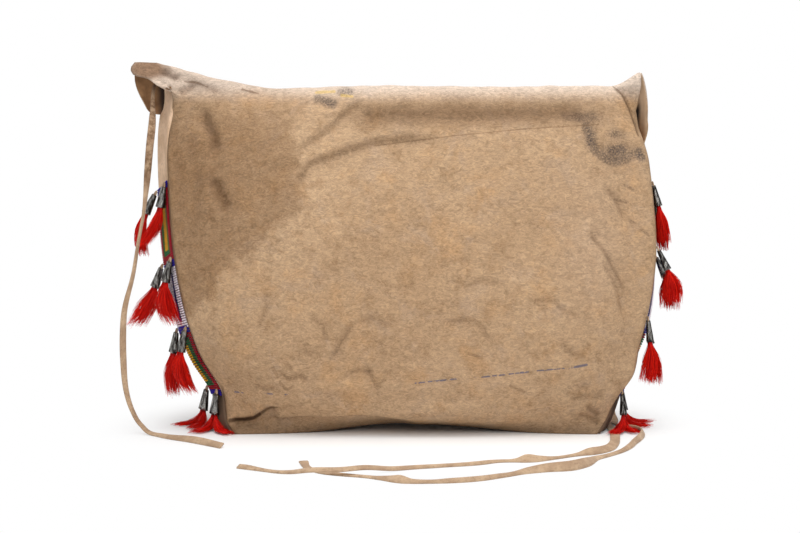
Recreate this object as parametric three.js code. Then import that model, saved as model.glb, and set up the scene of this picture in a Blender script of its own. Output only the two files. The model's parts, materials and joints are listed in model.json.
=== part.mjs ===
// Beaded possible bag: a stuffed hide bag with a flap, beaded side gussets and tin-cone danglers.
// It stands on its base, with the plain back towards -Y and the beaded front towards +Y.
// Units are millimetres, +Z is up, and the origin is in the middle of the flat base.
import * as THREE from 'three';

const { lerp, clamp, degToRad, smoothstep } = THREE.MathUtils;

// Stuffed hide
const BAG_HEIGHT = 348;
const BAG_WIDTH = 490;
const BELLY_DEPTH = 140;
const FRONT_SWELL = 8;
const CORNER_HEIGHT = 40;
const HIDE_THICKNESS = 2;
const FLAP_EDGE_HEIGHT = 235;
const FLAP_THICKNESS = 2.5;
const FOLD_RADIUS = 12;

// Side gussets
const GUSSET_DEPTH = 36;
const GUSSET_BOTTOM = 30;
const GUSSET_TOP_BELOW_FOLD = 30;
const FRONT_DROP = 12;
const FULL_DROP_HEIGHT = 200;
const SEAT_GAP = 0.3;
const BEAD_SEAT_GAP = 0.5;

// Bead strips down the gussets
const STRIP_WIDTH = 34;
const STRIP_BOTTOM = 36;
const STRIP_TOP = 253;
const STRIP_ROWS = 44;
const BEAD_HEIGHT = 1.8;
const BEAD_VALLEY = 1.1;
const STRIP_FLAT_SHARE = 0.8;
const STRIP_EDGE_SHARE = 0.6;

// Beaded front below the flap
const PANEL_BOTTOM = 46;
const PANEL_TOP = 222;
const PANEL_LANES = 14;
const LANE_HEIGHT = 2;
const LANE_VALLEY = 1.1;

// Danglers: a doubled thong with two hair tufts, and a rolled tin cone on each leg
const DANGLER_INSET = 0.5;
const THONG_RADIUS = 0.85;
const THONG_CLEARANCE = 0.35;
const LOOP_HEIGHT = 4;
const CONE_LENGTH = 21;
const CONE_MOUTH_RADIUS = 3;
const TIN_THICKNESS = 0.4;
const TIN_LAP_GAP = 0.1;
const CONE_GAP = 0.4;
const TUFT_LENGTH = 42;
const FLOOR_TUFT_LENGTH = 27;
const TUFT_RADIUS = 3.7;
const TUFT_ROOT = 7;
const TUFT_BINDING = 4;
const TUFT_NECK_SHARE = 0.6;
const TUFT_SHARES = [0.86, 1, 0.8];
const TUFT_CLEARANCE = 0.5;
const LOOP_SHOULDER = 0.8;

// Hide ties
const TIE_RADIUS = 2.2;

// Colours and finishes
const HIDE = { color: 0xbd9c78, roughness: 0.95, metalness: 0 };
const BEADS = { color: 0x78142a, roughness: 0.25, metalness: 0 };
const FRONT_BEADS = { color: 0xcdbfcb, roughness: 0.3, metalness: 0 };
const TIN = { color: 0x6b6660, roughness: 0.4, metalness: 1 };
const HAIR = { color: 0xbe1010, roughness: 0.7, metalness: 0 };

// Girth of the stuffed bag, as shares: height, left and right half width, seam depth and belly depth.
const GIRTH = [
  [0.000, 0.705, 0.770, 0.70, 0.40],
  [0.030, 0.735, 0.803, 0.60, 0.84],
  [0.118, 0.757, 0.857, 0.42, 0.97],
  [0.215, 0.838, 0.905, 0.40, 1.00],
  [0.305, 0.884, 0.949, 0.44, 1.00],
  [0.503, 0.944, 0.996, 0.37, 0.90],
  [0.718, 0.974, 0.982, 0.19, 0.69],
  [0.862, 0.979, 0.953, 0.10, 0.50],
  [0.925, 0.968, 0.935, 0.07, 0.40],
];
const RING_SHARES = [
  0, 0.012, 0.030, 0.055, 0.086, 0.118, 0.166, 0.215, 0.26, 0.305,
  0.37, 0.437, 0.503, 0.575, 0.645, 0.718, 0.79, 0.862, 0.925,
];
const SHOULDER = RING_SHARES[RING_SHARES.length - 1] * BAG_HEIGHT;
const FLAP_STEP = 1;
const RING_HEIGHTS = [
  ...RING_SHARES.map((share) => share * BAG_HEIGHT),
  FLAP_EDGE_HEIGHT - FLAP_STEP,
  FLAP_EDGE_HEIGHT + FLAP_STEP,
].sort((a, b) => a - b);

// The top fold: its rings as shares of the fold's radius, and of each ear's reach and rise.
const FOLD_RINGS = [
  { below: 1.00, back: 1.65, front: 2.35, reach: 0.45, rise: -0.10 },
  { below: 0.35, back: 1.00, front: 1.60, reach: 1.00, rise: 0.50 },
  { below: 0.00, back: 0.35, front: 0.65, reach: 0.90, rise: 1.00 },
];
const FOLD_END_SHARE = 0.35;

// Each side: the way it faces, how far its front seam stands out, its ear, and its danglers from the top down.
// The danglers hang from numbered rows of the bead strip.
const SIDES = {
  left: {
    sign: -1,
    flare: 16,
    ear: { reach: 36, rise: 23, start: 0.55, full: 0.92 },
    danglerRows: [43, 28, 14, 1],
    danglers: {
      back: [{ lean: 10, bend: -10 }, { lean: 13, bend: -44 }, { lean: 12, bend: -48 }, { lean: 6, bend: 126 }],
      front: [{ lean: 26, bend: -40 }, { lean: 19, bend: 16 }, { lean: 9, bend: -16 }, { lean: 10, bend: 126 }],
    },
  },
  right: {
    sign: 1,
    flare: 4,
    ear: { reach: 11, rise: 13, start: 0.88, full: 0.98 },
    danglerRows: [43, 30, 16, 1],
    danglers: {
      back: [{ lean: 15, bend: -8 }, { lean: 26, bend: -34 }, { lean: 6, bend: -30 }, { lean: 3, bend: 126 }],
      front: [{ lean: 16, bend: -10 }, { lean: 24, bend: -28 }, { lean: 12, bend: -10 }, { lean: 8, bend: 126 }],
    },
  },
};

// Places across the back and front, closer together towards the seams.
const ACROSS_STEPS = 14;
const ACROSS = Array.from({ length: ACROSS_STEPS + 1 }, (_, i) => Math.sin((i / ACROSS_STEPS - 0.5) * Math.PI));
const PANEL_ACROSS = ACROSS.slice(3, -3);

// The bag's sizes at one height, in millimetres, by a cubic curve through the girth table.
const girthCurve = new THREE.CubicInterpolant(
  GIRTH.map((row) => row[0]),
  GIRTH.flatMap((row) => row.slice(1)),
  4,
);

function girth(height) {
  const [left, right, seam, belly] = girthCurve.evaluate(height / BAG_HEIGHT);
  return {
    left: left * BAG_WIDTH / 2,
    right: right * BAG_WIDTH / 2,
    seam: seam * BELLY_DEPTH / 2,
    belly: belly * BELLY_DEPTH / 2,
  };
}

// How far the front seam hangs below the back seam: nothing at the base and at the shoulder.
function frontDrop(height) {
  const rise = smoothstep(height, 0, FULL_DROP_HEIGHT);
  const fall = 1 - smoothstep(height, STRIP_TOP, SHOULDER);
  return FRONT_DROP * rise * fall;
}

// Fullness of the stuffing across the bag: one in the middle, nothing at the seams.
function crown(across) {
  return (1 - across ** 4) ** 0.6;
}

// Near the floor the fullness is narrower, so that the bag stands on its corners, with an arched edge between.
function fullness(across, height) {
  return lerp((1 - across ** 2) ** 2, crown(across), smoothstep(height, 0, CORNER_HEIGHT));
}

function backPoint(across, height) {
  const { left, right, seam, belly } = girth(height);
  const x = lerp(-left, right, (across + 1) / 2);
  return new THREE.Vector3(x, -lerp(seam, belly, fullness(across, height)), height);
}

function frontPoint(across, height) {
  const { left, right, seam, belly } = girth(height);
  const x = lerp(-left - SIDES.left.flare, right + SIDES.right.flare, (across + 1) / 2);
  const flap = height > FLAP_EDGE_HEIGHT ? FLAP_THICKNESS : 0;
  const y = lerp(GUSSET_DEPTH - seam, belly + FRONT_SWELL + flap, fullness(across, height));
  return new THREE.Vector3(x, y, height - frontDrop(height) * across ** 2);
}

// A closed body through rings of matching points. Each ring runs counter-clockwise, seen from the last ring.
// Each four-sided face is split along its shorter diagonal, so that faces that lie on each other match.
function loft(rings) {
  const count = rings[0].length;
  const points = rings.flat();
  const triangles = [];
  const addQuad = (a, b, c, d) => {
    const alongAC = points[a].distanceTo(points[c]) < points[b].distanceTo(points[d]);
    triangles.push(...(alongAC ? [a, b, c, a, c, d] : [a, b, d, b, c, d]));
  };
  for (let low = 0; low < (rings.length - 1) * count; low += count) {
    for (let i = 0; i < count; i++) {
      const next = (i + 1) % count;
      addQuad(low + i, low + next, low + count + next, low + count + i);
    }
  }
  const last = (rings.length - 1) * count;
  for (let i = 0; i < count / 2 - 1; i++) {
    const across = count - 1 - i;
    addQuad(i, across, across - 1, i + 1);
    addQuad(last + i, last + i + 1, last + across - 1, last + across);
  }
  const geometry = new THREE.BufferGeometry().setFromPoints(points);
  geometry.setIndex(triangles);
  geometry.computeVertexNormals();
  return geometry;
}

function mesh(name, geometry, finish) {
  const piece = new THREE.Mesh(geometry, new THREE.MeshStandardMaterial(finish));
  piece.name = name;
  return piece;
}

// Stuffed hide: level rings up to the shoulder, then the fold of the flap with an ear at each end.
function earShare(across, ear) {
  return clamp((Math.abs(across) - ear.start) / (ear.full - ear.start), 0, 1) ** 2;
}

function foldPoint(across, ring, depth) {
  const { left, right } = girth(SHOULDER);
  const side = across < 0 ? SIDES.left : SIDES.right;
  const share = earShare(across, side.ear);
  const x = lerp(-left, right, (across + 1) / 2) + side.sign * side.ear.reach * ring.reach * share;
  const z = BAG_HEIGHT - ring.below * FOLD_RADIUS + side.ear.rise * ring.rise * share;
  return new THREE.Vector3(x, depth * FOLD_RADIUS * lerp(FOLD_END_SHARE, 1, crown(across)), z);
}

function bagHide() {
  const rings = RING_HEIGHTS.map((height) => [
    ...ACROSS.map((across) => backPoint(across, height)),
    ...ACROSS.map((across) => frontPoint(across, height)).reverse(),
  ]);
  for (const ring of FOLD_RINGS) {
    rings.push([
      ...ACROSS.map((across) => foldPoint(across, ring, -ring.back)),
      ...ACROSS.map((across) => foldPoint(across, ring, ring.front)).reverse(),
    ]);
  }
  return loft(rings);
}

// What lies on the hide follows its flats: a point between two rings is on the straight line between them.
function betweenRings(height, pointAt) {
  const above = RING_HEIGHTS.findIndex((ring) => ring >= height);
  const [low, high] = [RING_HEIGHTS[above - 1], RING_HEIGHTS[above]];
  return pointAt(low).lerp(pointAt(high), (height - low) / (high - low));
}

// A side of the bag is ruled from its back seam to its front seam.
function sideRing(side, height) {
  const end = side.sign;
  const back = backPoint(end, height);
  const front = frontPoint(end, height);
  const step = 1;
  const above = backPoint(end, height + step).add(frontPoint(end, height + step));
  const below = backPoint(end, height - step).add(frontPoint(end, height - step));
  const normal = front.clone().sub(back).cross(above.sub(below)).normalize();
  return { back, front, normal: normal.multiplyScalar(Math.sign(normal.x) * side.sign) };
}

function sidePoint(side, across, height, lift) {
  return betweenRings(height, (ringHeight) => {
    const { back, front, normal } = sideRing(side, ringHeight);
    return back.lerp(front, across).addScaledVector(normal, lift);
  });
}

function gussetWidth(side, height) {
  const { back, front } = sideRing(side, height);
  return back.distanceTo(front);
}

// Rings are listed for the left side, and turned round for the right side.
function sideLoft(side, rings) {
  return loft(side.sign < 0 ? rings : rings.map((ring) => ring.reverse()));
}

const GUSSET_FACE = SEAT_GAP + HIDE_THICKNESS;

function gusset(side) {
  const top = BAG_HEIGHT - GUSSET_TOP_BELOW_FOLD;
  const between = RING_HEIGHTS.filter((height) => height > GUSSET_BOTTOM && height < top);
  const rings = [GUSSET_BOTTOM, ...between, top].map((height) => [
    sidePoint(side, 0, height, SEAT_GAP),
    sidePoint(side, 1, height, SEAT_GAP),
    sidePoint(side, 1, height, GUSSET_FACE),
    sidePoint(side, 0, height, GUSSET_FACE),
  ]);
  return sideLoft(side, rings);
}

// A bead strip is a run of ridges, each standing for rows of beads laid across the gusset.
const STRIP_SEAT = GUSSET_FACE + BEAD_SEAT_GAP;
const STRIP_FACE = STRIP_SEAT + BEAD_HEIGHT;

// The height of the middle of a row, counted from the bottom of the strip.
function rowHeight(row) {
  return lerp(STRIP_BOTTOM, STRIP_TOP, (row + 0.5) / STRIP_ROWS);
}

function beadStrip(side) {
  const rings = [];
  for (let i = 0; i <= STRIP_ROWS * 2; i++) {
    const height = rowHeight((i - 1) / 2);
    const bead = i % 2 ? BEAD_HEIGHT : BEAD_VALLEY;
    const half = STRIP_WIDTH / 2 / gussetWidth(side, height);
    const at = (across, lift) => sidePoint(side, 0.5 + across * half, height, STRIP_SEAT + lift);
    const edge = bead * STRIP_EDGE_SHARE;
    const flat = STRIP_FLAT_SHARE;
    rings.push([at(-1, 0), at(1, 0), at(1, edge), at(flat, bead), at(-flat, bead), at(-1, edge)]);
  }
  return sideLoft(side, rings);
}

// The beaded front: level lanes, each a low ridge, that follow the swell of the front.
function frontBeadPanel() {
  const rings = [];
  for (let i = 0; i <= PANEL_LANES * 2; i++) {
    const height = lerp(PANEL_BOTTOM, PANEL_TOP, i / (PANEL_LANES * 2));
    const lane = i % 2 ? LANE_HEIGHT : LANE_VALLEY;
    const at = (across, lift) => {
      const onHide = betweenRings(height, (ringHeight) => frontPoint(across, ringHeight));
      return onHide.add(new THREE.Vector3(0, BEAD_SEAT_GAP + lift, 0));
    };
    rings.push([
      ...PANEL_ACROSS.map((across) => at(across, 0)),
      ...PANEL_ACROSS.map((across) => at(across, lane)).reverse(),
    ]);
  }
  return loft(rings);
}

// A tin cone: a strip of sheet rolled a little more than one turn, so that its edges lap.
const CONE_POINTS = 11;
const CONE_TURN = degToRad(392);
const LAP_PITCH = TIN_THICKNESS + TIN_LAP_GAP;
const TIP_BORE = THONG_RADIUS + THONG_CLEARANCE;
const ROLL_GROWTH = TIN_THICKNESS + LAP_PITCH * CONE_TURN / (2 * Math.PI);

function rolledRing(bore, z) {
  const ring = [];
  for (const wall of [TIN_THICKNESS, 0]) {
    const edge = [];
    for (let i = 0; i < CONE_POINTS; i++) {
      const turn = CONE_TURN * i / (CONE_POINTS - 1);
      const radius = bore + wall + LAP_PITCH * turn / (2 * Math.PI);
      edge.push(new THREE.Vector3(radius * Math.cos(turn), radius * Math.sin(turn), z));
    }
    ring.push(...(wall ? edge : edge.reverse()));
  }
  return ring;
}

function tinCone() {
  return loft([rolledRing(CONE_MOUTH_RADIUS, -CONE_LENGTH), rolledRing(TIP_BORE, 0)]);
}

// The two cones of a dangler hang side by side and fan out, so that they clear each other tip to mouth.
const TIP_SPREAD = TIP_BORE + ROLL_GROWTH + CONE_GAP / 2;
const MOUTH_SPREAD = CONE_MOUTH_RADIUS + ROLL_GROWTH + CONE_GAP / 2;
const CONE_FAN = Math.asin((MOUTH_SPREAD - TIP_SPREAD) / CONE_LENGTH);

// A round section of changing radius along a path, turned from ring to ring with no twist.
const SWEEP_SIDES = 6;

function sweep(stations) {
  let normal = new THREE.Vector3(1, 0, 0);
  const rings = stations.map(({ point, radius }, i) => {
    const before = stations[Math.max(i - 1, 0)].point;
    const after = stations[Math.min(i + 1, stations.length - 1)].point;
    const tangent = after.clone().sub(before).normalize();
    normal = normal.clone().addScaledVector(tangent, -normal.dot(tangent)).normalize();
    const binormal = tangent.clone().cross(normal);
    return Array.from({ length: SWEEP_SIDES }, (_, k) => {
      const angle = k / SWEEP_SIDES * 2 * Math.PI;
      return point.clone()
        .addScaledVector(normal, radius * Math.cos(angle))
        .addScaledVector(binormal, radius * Math.sin(angle));
    });
  });
  return loft(rings);
}

// One leg of a dangler's thong from its loop to the end of its tuft, bending out along the given direction.
const DOWN = new THREE.Vector3(0, 0, -1);

function tasselLeg(legSign, tuftLength, bend, outward) {
  const tip = new THREE.Vector3(0, legSign * TIP_SPREAD, -LOOP_HEIGHT);
  const axis = new THREE.Vector3(0, legSign * Math.sin(CONE_FAN), -Math.cos(CONE_FAN));
  const onAxis = (distance) => tip.clone().addScaledVector(axis, distance);
  const mouthRadius = CONE_MOUTH_RADIUS - TUFT_CLEARANCE;
  const leg = [
    { point: onAxis(-LOOP_SHOULDER), radius: THONG_RADIUS },
    { point: onAxis(CONE_LENGTH - TUFT_ROOT - TUFT_BINDING), radius: THONG_RADIUS },
    { point: onAxis(CONE_LENGTH - TUFT_ROOT), radius: mouthRadius * TUFT_NECK_SHARE },
    { point: onAxis(CONE_LENGTH), radius: mouthRadius },
  ];
  const hair = onAxis(CONE_LENGTH);
  const step = tuftLength / TUFT_SHARES.length;
  TUFT_SHARES.forEach((share, i) => {
    const angle = degToRad(bend) * (i + 0.5) / TUFT_SHARES.length;
    hair.addScaledVector(DOWN, step * Math.cos(angle)).addScaledVector(outward, step * Math.sin(angle));
    leg.push({ point: hair.clone(), radius: TUFT_RADIUS * share });
  });
  return leg;
}

function tassel(tuftLength, bend, outward) {
  const [near, far] = [-1, 1].map((legSign) => tasselLeg(legSign, tuftLength, bend, outward));
  const loop = { point: new THREE.Vector3(0, 0, 0), radius: THONG_RADIUS };
  return sweep([...near.reverse(), loop, ...far]);
}

// A dangler hangs from its thong's loop, which lies on the edge beads of the strip.
function dangler(name, side, edge, level) {
  const height = rowHeight(side.danglerRows[level]);
  const width = gussetWidth(side, height);
  const edgeSign = edge === 'back' ? -1 : 1;
  const across = 0.5 + edgeSign * (STRIP_WIDTH / 2 - DANGLER_INSET) / width;
  const { lean, bend } = side.danglers[edge][level];
  const turn = -side.sign * Math.atan2(side.flare, GUSSET_DEPTH);
  const onFloor = level === side.danglerRows.length - 1;

  const anchor = new THREE.Group();
  anchor.name = `${name}_pivot_${level + 1}`;
  anchor.position.copy(sidePoint(side, across, height, STRIP_FACE + SEAT_GAP + THONG_RADIUS));
  anchor.rotation.z = side.sign < 0 ? Math.PI : 0;
  const hang = new THREE.Group();
  hang.rotation.set(0, -degToRad(lean), turn);
  anchor.add(hang);

  const outward = new THREE.Vector3(Math.cos(turn), -Math.sin(turn), 0);
  const tuftLength = onFloor ? FLOOR_TUFT_LENGTH : TUFT_LENGTH;
  hang.add(mesh(`${name}_tassel_${level + 1}`, tassel(tuftLength, bend, outward), HAIR));
  for (const [letter, legSign] of [['a', -1], ['b', 1]]) {
    const cone = mesh(`${name}_cone_${level + 1}${letter}`, tinCone(), TIN);
    cone.position.set(0, legSign * TIP_SPREAD, -LOOP_HEIGHT);
    cone.rotation.x = legSign * CONE_FAN;
    hang.add(cone);
  }
  return anchor;
}

// Free ties, along routes chosen by hand from where they leave the hide to their ends on the floor.
const LEFT_TIE_ROUTE = [
  [-257.5, -2, 335.5], [-256.5, -8, 324], [-255, -24, 308], [-255, -40, 286], [-258, -47, 244],
  [-261, -48, 219], [-266, -48, 194], [-272, -48, 160], [-281, -48, 125], [-283, -48, 100],
  [-283, -48, 75], [-281, -48, 46], [-276, -47, 26], [-267, -48, 10], [-252, -56, 3.4],
  [-236, -70, 2.4], [-212, -86, 2.4], [-195, -100, 2.4], [-178, -115, 2.4],
];
const RIGHT_TIE_UPPER_ROUTE = [
  [204, 50.3, 232], [203, 56.3, 218], [202, 62, 196], [202, 64, 165], [202, 64, 110], [203, 63, 60],
  [205, 59, 30], [208, 50, 11], [209, 36, 3.6],
  [208, 16, 2.4], [206, -10, 2.4], [208, -40, 2.4], [208, -67, 2.4], [203, -105, 2.4],
  [193, -128, 2.4], [180, -137, 2.4], [156, -153, 2.4], [135, -163, 2.4], [114, -168, 2.4],
  [82, -173, 2.4], [63, -187, 2.4], [28, -197, 2.4], [-3, -207, 3.4], [-38, -228, 7.6],
  [-60, -236, 7.6], [-86, -238, 7.6], [-109, -226, 4.6], [-131, -213, 2.4], [-153, -201, 2.4],
];
const RIGHT_TIE_LOWER_ROUTE = [
  [212, 47.5, 232], [211, 55.3, 218], [210, 61, 196], [210, 64, 165], [210, 64, 110], [211, 63, 60],
  [213, 60, 30], [216, 52, 11], [217, 39, 3.6],
  [216, 20, 2.4], [214, -6, 2.4], [215, -30, 2.4], [224, -43, 2.4], [235, -48, 2.4], [240, -62, 2.4],
  [233, -84, 2.4], [222, -105, 2.4], [211, -126, 2.4], [198, -145, 2.4], [183, -165, 2.4],
  [169, -188, 2.4], [154, -201, 2.4], [121, -208, 2.4], [104, -216, 2.4], [84, -233, 2.4],
  [61, -248, 2.4], [39, -257, 2.4], [18, -259, 2.4], [-1, -252, 2.4], [-39, -238, 2.4],
  [-59, -231, 2.4], [-77, -222, 2.4], [-90, -205, 2.4], [-96, -178, 2.4],
];
const TIE_SIDES = 8;
const TIE_STEPS = { left: 19, upper: 29, lower: 32 };

function tie(route, steps) {
  const section = new THREE.Shape(Array.from({ length: TIE_SIDES }, (_, i) => {
    const angle = i / TIE_SIDES * 2 * Math.PI;
    return new THREE.Vector2(TIE_RADIUS * Math.cos(angle), TIE_RADIUS * Math.sin(angle));
  }));
  const extrudePath = new THREE.CatmullRomCurve3(route.map((point) => new THREE.Vector3(...point)));
  return new THREE.ExtrudeGeometry(section, { steps, extrudePath });
}

// The whole bag
const bag = new THREE.Group();
bag.name = 'beaded_possible_bag';
bag.add(mesh('bag_hide', bagHide(), HIDE));
bag.add(mesh('front_bead_panel', frontBeadPanel(), FRONT_BEADS));
for (const [sideName, side] of Object.entries(SIDES)) {
  bag.add(mesh(`${sideName}_gusset`, gusset(side), HIDE));
  bag.add(mesh(`${sideName}_bead_strip`, beadStrip(side), BEADS));
  for (const edge of ['back', 'front']) {
    for (let level = 0; level < side.danglerRows.length; level++) {
      bag.add(dangler(`${sideName}_${edge}`, side, edge, level));
    }
  }
}
bag.add(mesh('left_tie', tie(LEFT_TIE_ROUTE, TIE_STEPS.left), HIDE));
bag.add(mesh('right_tie_upper', tie(RIGHT_TIE_UPPER_ROUTE, TIE_STEPS.upper), HIDE));
bag.add(mesh('right_tie_lower', tie(RIGHT_TIE_LOWER_ROUTE, TIE_STEPS.lower), HIDE));

export default bag;
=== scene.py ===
# %% [markdown]
# # A beaded possible bag
#
# A possible bag is a soft saddle bag of tanned hide. This one is stuffed and closed, and it stands
# with its plain back towards us. The CAD part gives its solids and its moving bodies. Here each solid
# gets the hide, glass, tin and hair that the photograph shows, in the same frame: metres, +Z up,
# the back towards -Y.

# %% Load the CAD frame
import json
import math
import random

import bmesh
import bpy
import numpy as np
from mathutils import Matrix, Vector, noise

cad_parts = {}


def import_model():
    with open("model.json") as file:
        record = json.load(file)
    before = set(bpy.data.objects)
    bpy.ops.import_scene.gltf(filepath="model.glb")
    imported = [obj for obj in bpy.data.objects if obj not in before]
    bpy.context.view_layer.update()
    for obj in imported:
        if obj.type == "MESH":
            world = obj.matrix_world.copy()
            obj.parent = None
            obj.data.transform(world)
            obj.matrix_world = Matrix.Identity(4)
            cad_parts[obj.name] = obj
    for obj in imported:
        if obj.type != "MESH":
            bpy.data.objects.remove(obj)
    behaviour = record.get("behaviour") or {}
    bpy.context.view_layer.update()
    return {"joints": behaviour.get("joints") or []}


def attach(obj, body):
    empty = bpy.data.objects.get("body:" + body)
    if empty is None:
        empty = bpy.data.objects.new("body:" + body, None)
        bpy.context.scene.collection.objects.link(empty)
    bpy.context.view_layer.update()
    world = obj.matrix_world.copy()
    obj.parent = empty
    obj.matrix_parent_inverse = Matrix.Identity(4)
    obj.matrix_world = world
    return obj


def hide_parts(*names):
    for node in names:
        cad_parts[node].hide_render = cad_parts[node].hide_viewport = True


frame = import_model()
MM = 0.001
rng = random.Random(11)

# %% [markdown]
# ## Camera and stage
#
# The photograph looks almost level at the back, from a little below the height of its top. A long lens
# at one and a half metres gives the same perspective: about one pixel for each millimetre of hide.

# %% Camera
LENS, CAMERA_PLACE, CAMERA_TILT = 67.5, (-0.008, -1.525, 0.300), 84.9
scene = bpy.context.scene
scene.view_settings.view_transform = "Standard"
camera = bpy.data.objects.new("camera", bpy.data.cameras.new("camera"))
camera.data.lens = LENS
camera.location = CAMERA_PLACE
camera.rotation_euler = (math.radians(CAMERA_TILT), 0, 0)
scene.collection.objects.link(camera)
scene.camera = camera
print("lens", camera.data.lens, "mm")

# %% [markdown]
# ## Helpers for pieces
#
# A piece is a mesh that rides on one CAD body. Most of them are grids of points, so one helper turns
# an array of rows and columns into a sheet. Another gives a sheet its wall.


# %% Piece helpers
def link_mesh(name, mesh, material, body="bag"):
    piece = bpy.data.objects.new(name, mesh)
    scene.collection.objects.link(piece)
    mesh.materials.append(material)
    mesh.polygons.foreach_set("use_smooth", [True] * len(mesh.polygons))
    if body:
        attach(piece, body)
    return piece


def grid_mesh(name, points, ring=False, label=None, values=None):
    """A sheet through an array of rows and columns, in millimetres.

    A label names a value or a colour at each point. A ring joins its last column to its first, and
    its ends are closed.
    """
    rows, columns = points.shape[:2]
    sheet = bmesh.new()
    bmesh.ops.create_grid(sheet, x_segments=columns - 1, y_segments=rows - 1, size=1)
    if label:
        kinds = sheet.verts.layers
        layer = kinds.float.new(label) if values.ndim == 2 else kinds.float_color.new(label)
    order = sorted(sheet.verts, key=lambda v: (round(v.co.y, 5), round(v.co.x, 5)))
    for vert, point in zip(order, points.reshape(-1, 3)):
        vert.co = Vector(point) * MM
    if label:
        for vert, value in zip(order, values.reshape(rows * columns, -1).tolist()):
            vert[layer] = value if len(value) > 1 else value[0]
    if ring:
        bmesh.ops.remove_doubles(sheet, verts=sheet.verts, dist=1e-7)
        bmesh.ops.holes_fill(sheet, edges=[e for e in sheet.edges if e.is_boundary])
    mesh = bpy.data.meshes.new(name)
    sheet.to_mesh(mesh)
    sheet.free()
    return mesh


def thicken(piece, thickness):
    """A wall on the inner side of a sheet, in millimetres."""
    wall = piece.modifiers.new("wall", "SOLIDIFY")
    wall.thickness = thickness * MM
    wall.offset = -1
    return wall


# %% [markdown]
# ## Helpers for materials
#
# A material is a tree of nodes. The first helper adds a node and joins its inputs. The others are short
# names for what is used most: a mix of two colours, a smooth step, grain, products and mottled colour.

# %% Shader helpers
def add(tree, kind, inputs=None, **settings):
    """A new shader node. An input takes a value, or the output of another node."""
    made = tree.nodes.new(kind)
    for key, value in settings.items():
        setattr(made, key, value)
    for key, value in (inputs or {}).items():
        socket = made.inputs[key]
        if isinstance(value, bpy.types.NodeSocket):
            tree.links.new(value, socket)
        else:
            socket.default_value = value
    return made


def mix(tree, share, first, second, blend="MIX"):
    inputs = {0: share, 6: first, 7: second}
    return add(tree, "ShaderNodeMix", inputs, data_type="RGBA", blend_type=blend).outputs[2]


def spread(tree, value, low, high, start=0.0, end=1.0):
    inputs = {"Value": value, "From Min": low, "From Max": high, "To Min": start, "To Max": end}
    return add(tree, "ShaderNodeMapRange", inputs, interpolation_type="SMOOTHSTEP").outputs[0]


def grain(tree, place, scale, detail=4.0, roughness=0.55, warp=0.0):
    inputs = {"Vector": place, "Scale": scale, "Detail": detail, "Roughness": roughness, "Distortion": warp}
    return add(tree, "ShaderNodeTexNoise", inputs).outputs["Fac"]


def math_node(tree, operation, first, second=0.0):
    return add(tree, "ShaderNodeMath", {0: first, 1: second}, operation=operation).outputs[0]


def vector_node(tree, operation, *values):
    return add(tree, "ShaderNodeVectorMath", dict(enumerate(values)), operation=operation).outputs


def times(tree, product, *values):
    for value in values:
        product = math_node(tree, "MULTIPLY", product, value)
    return product


def axes_of(tree, place):
    return add(tree, "ShaderNodeSeparateXYZ", {0: place}).outputs


def grey(tree, shade):
    return add(tree, "ShaderNodeCombineColor", {0: shade, 1: shade, 2: shade}).outputs[0]


# %% Material helpers
def mottle(tree, place, first, second, scale, low, high, most=1.0, **kind):
    """One colour with another over it, in the patches where the grain passes from a low to a high level."""
    return mix(tree, spread(tree, grain(tree, place, scale, **kind), low, high, 0.0, most), first, second)


def new_material(name, levels):
    """A material with plain levels set on its shader, then its tree, shader and place on a piece."""
    material = bpy.data.materials.new(name)
    material.use_nodes = True
    tree = material.node_tree
    shader = tree.nodes["Principled BSDF"]
    for key, value in levels.items():
        shader.inputs[key].default_value = value
    return material, tree, shader, add(tree, "ShaderNodeTexCoord").outputs["Object"]


def paint(tree, shader, colour):
    tree.links.new(colour, shader.inputs["Base Color"])


def set_bump(tree, shader, height, strength, distance):
    bump = add(tree, "ShaderNodeBump", {"Height": height, "Strength": strength, "Distance": distance})
    tree.links.new(bump.outputs[0], shader.inputs["Normal"])


def srgb(red, green, blue):
    """A colour read as it looks, from 0 to 255, as the linear colour that a shader takes."""
    shares = [channel / 255 for channel in (red, green, blue)]
    return (*[s / 12.92 if s <= 0.04045 else ((s + 0.055) / 1.055) ** 2.4 for s in shares], 1.0)


# %% [markdown]
# ## Floor and light
#
# The floor and the background are white paper. Away from the bag they are plain white to the camera
# and in reflections, so the bag itself is lit at a plain level and its shadow stays on the paper. A wide
# lamp above gives the pale top fold and the soft dark line under the bag, together with a painted
# highlight on the fold and painted shade at the foot of the hide.


# %% Paper floor
def sees_background(tree):
    """One for rays from the camera, and for rays that a shiny or clear surface sends on."""
    rays = add(tree, "ShaderNodeLightPath").outputs
    shiny = math_node(tree, "MAXIMUM", rays["Is Glossy Ray"], rays["Is Transmission Ray"])
    return math_node(tree, "MAXIMUM", rays["Is Camera Ray"], shiny)


PAPER_SHADES, FLOOR_X, FLOOR_Y = (0.93, 0.95), (-6000, 6000), (-4000, 9000)
AROUND_BAG, SHADOW_REACH, WHITE_REACH = (2.3, 3.2, 1.0), 0.42, 0.76
paper, tree, shader, place = new_material("paper", {"Roughness": 0.9})
paint(tree, shader, grey(tree, spread(tree, grain(tree, place, 6.0), 0.2, 0.8, *PAPER_SHADES)))
from_bag = vector_node(tree, "LENGTH", vector_node(tree, "MULTIPLY", place, AROUND_BAG)[0])["Value"]
away = times(tree, spread(tree, from_bag, SHADOW_REACH, WHITE_REACH), sees_background(tree))
white = add(tree, "ShaderNodeEmission", {"Color": (1, 1, 1, 1), "Strength": 1.0})
sheet_of_paper = add(tree, "ShaderNodeMixShader", {0: away, 1: shader.outputs[0], 2: white.outputs[0]})
tree.links.new(sheet_of_paper.outputs[0], tree.nodes["Material Output"].inputs["Surface"])
floor_corners = np.array([[[x, y, 0.0] for x in FLOOR_X] for y in FLOOR_Y])
floor = link_mesh("floor", grid_mesh("floor", floor_corners), paper, body=None)
print("floor", FLOOR_X, FLOOR_Y, "mm")

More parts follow.
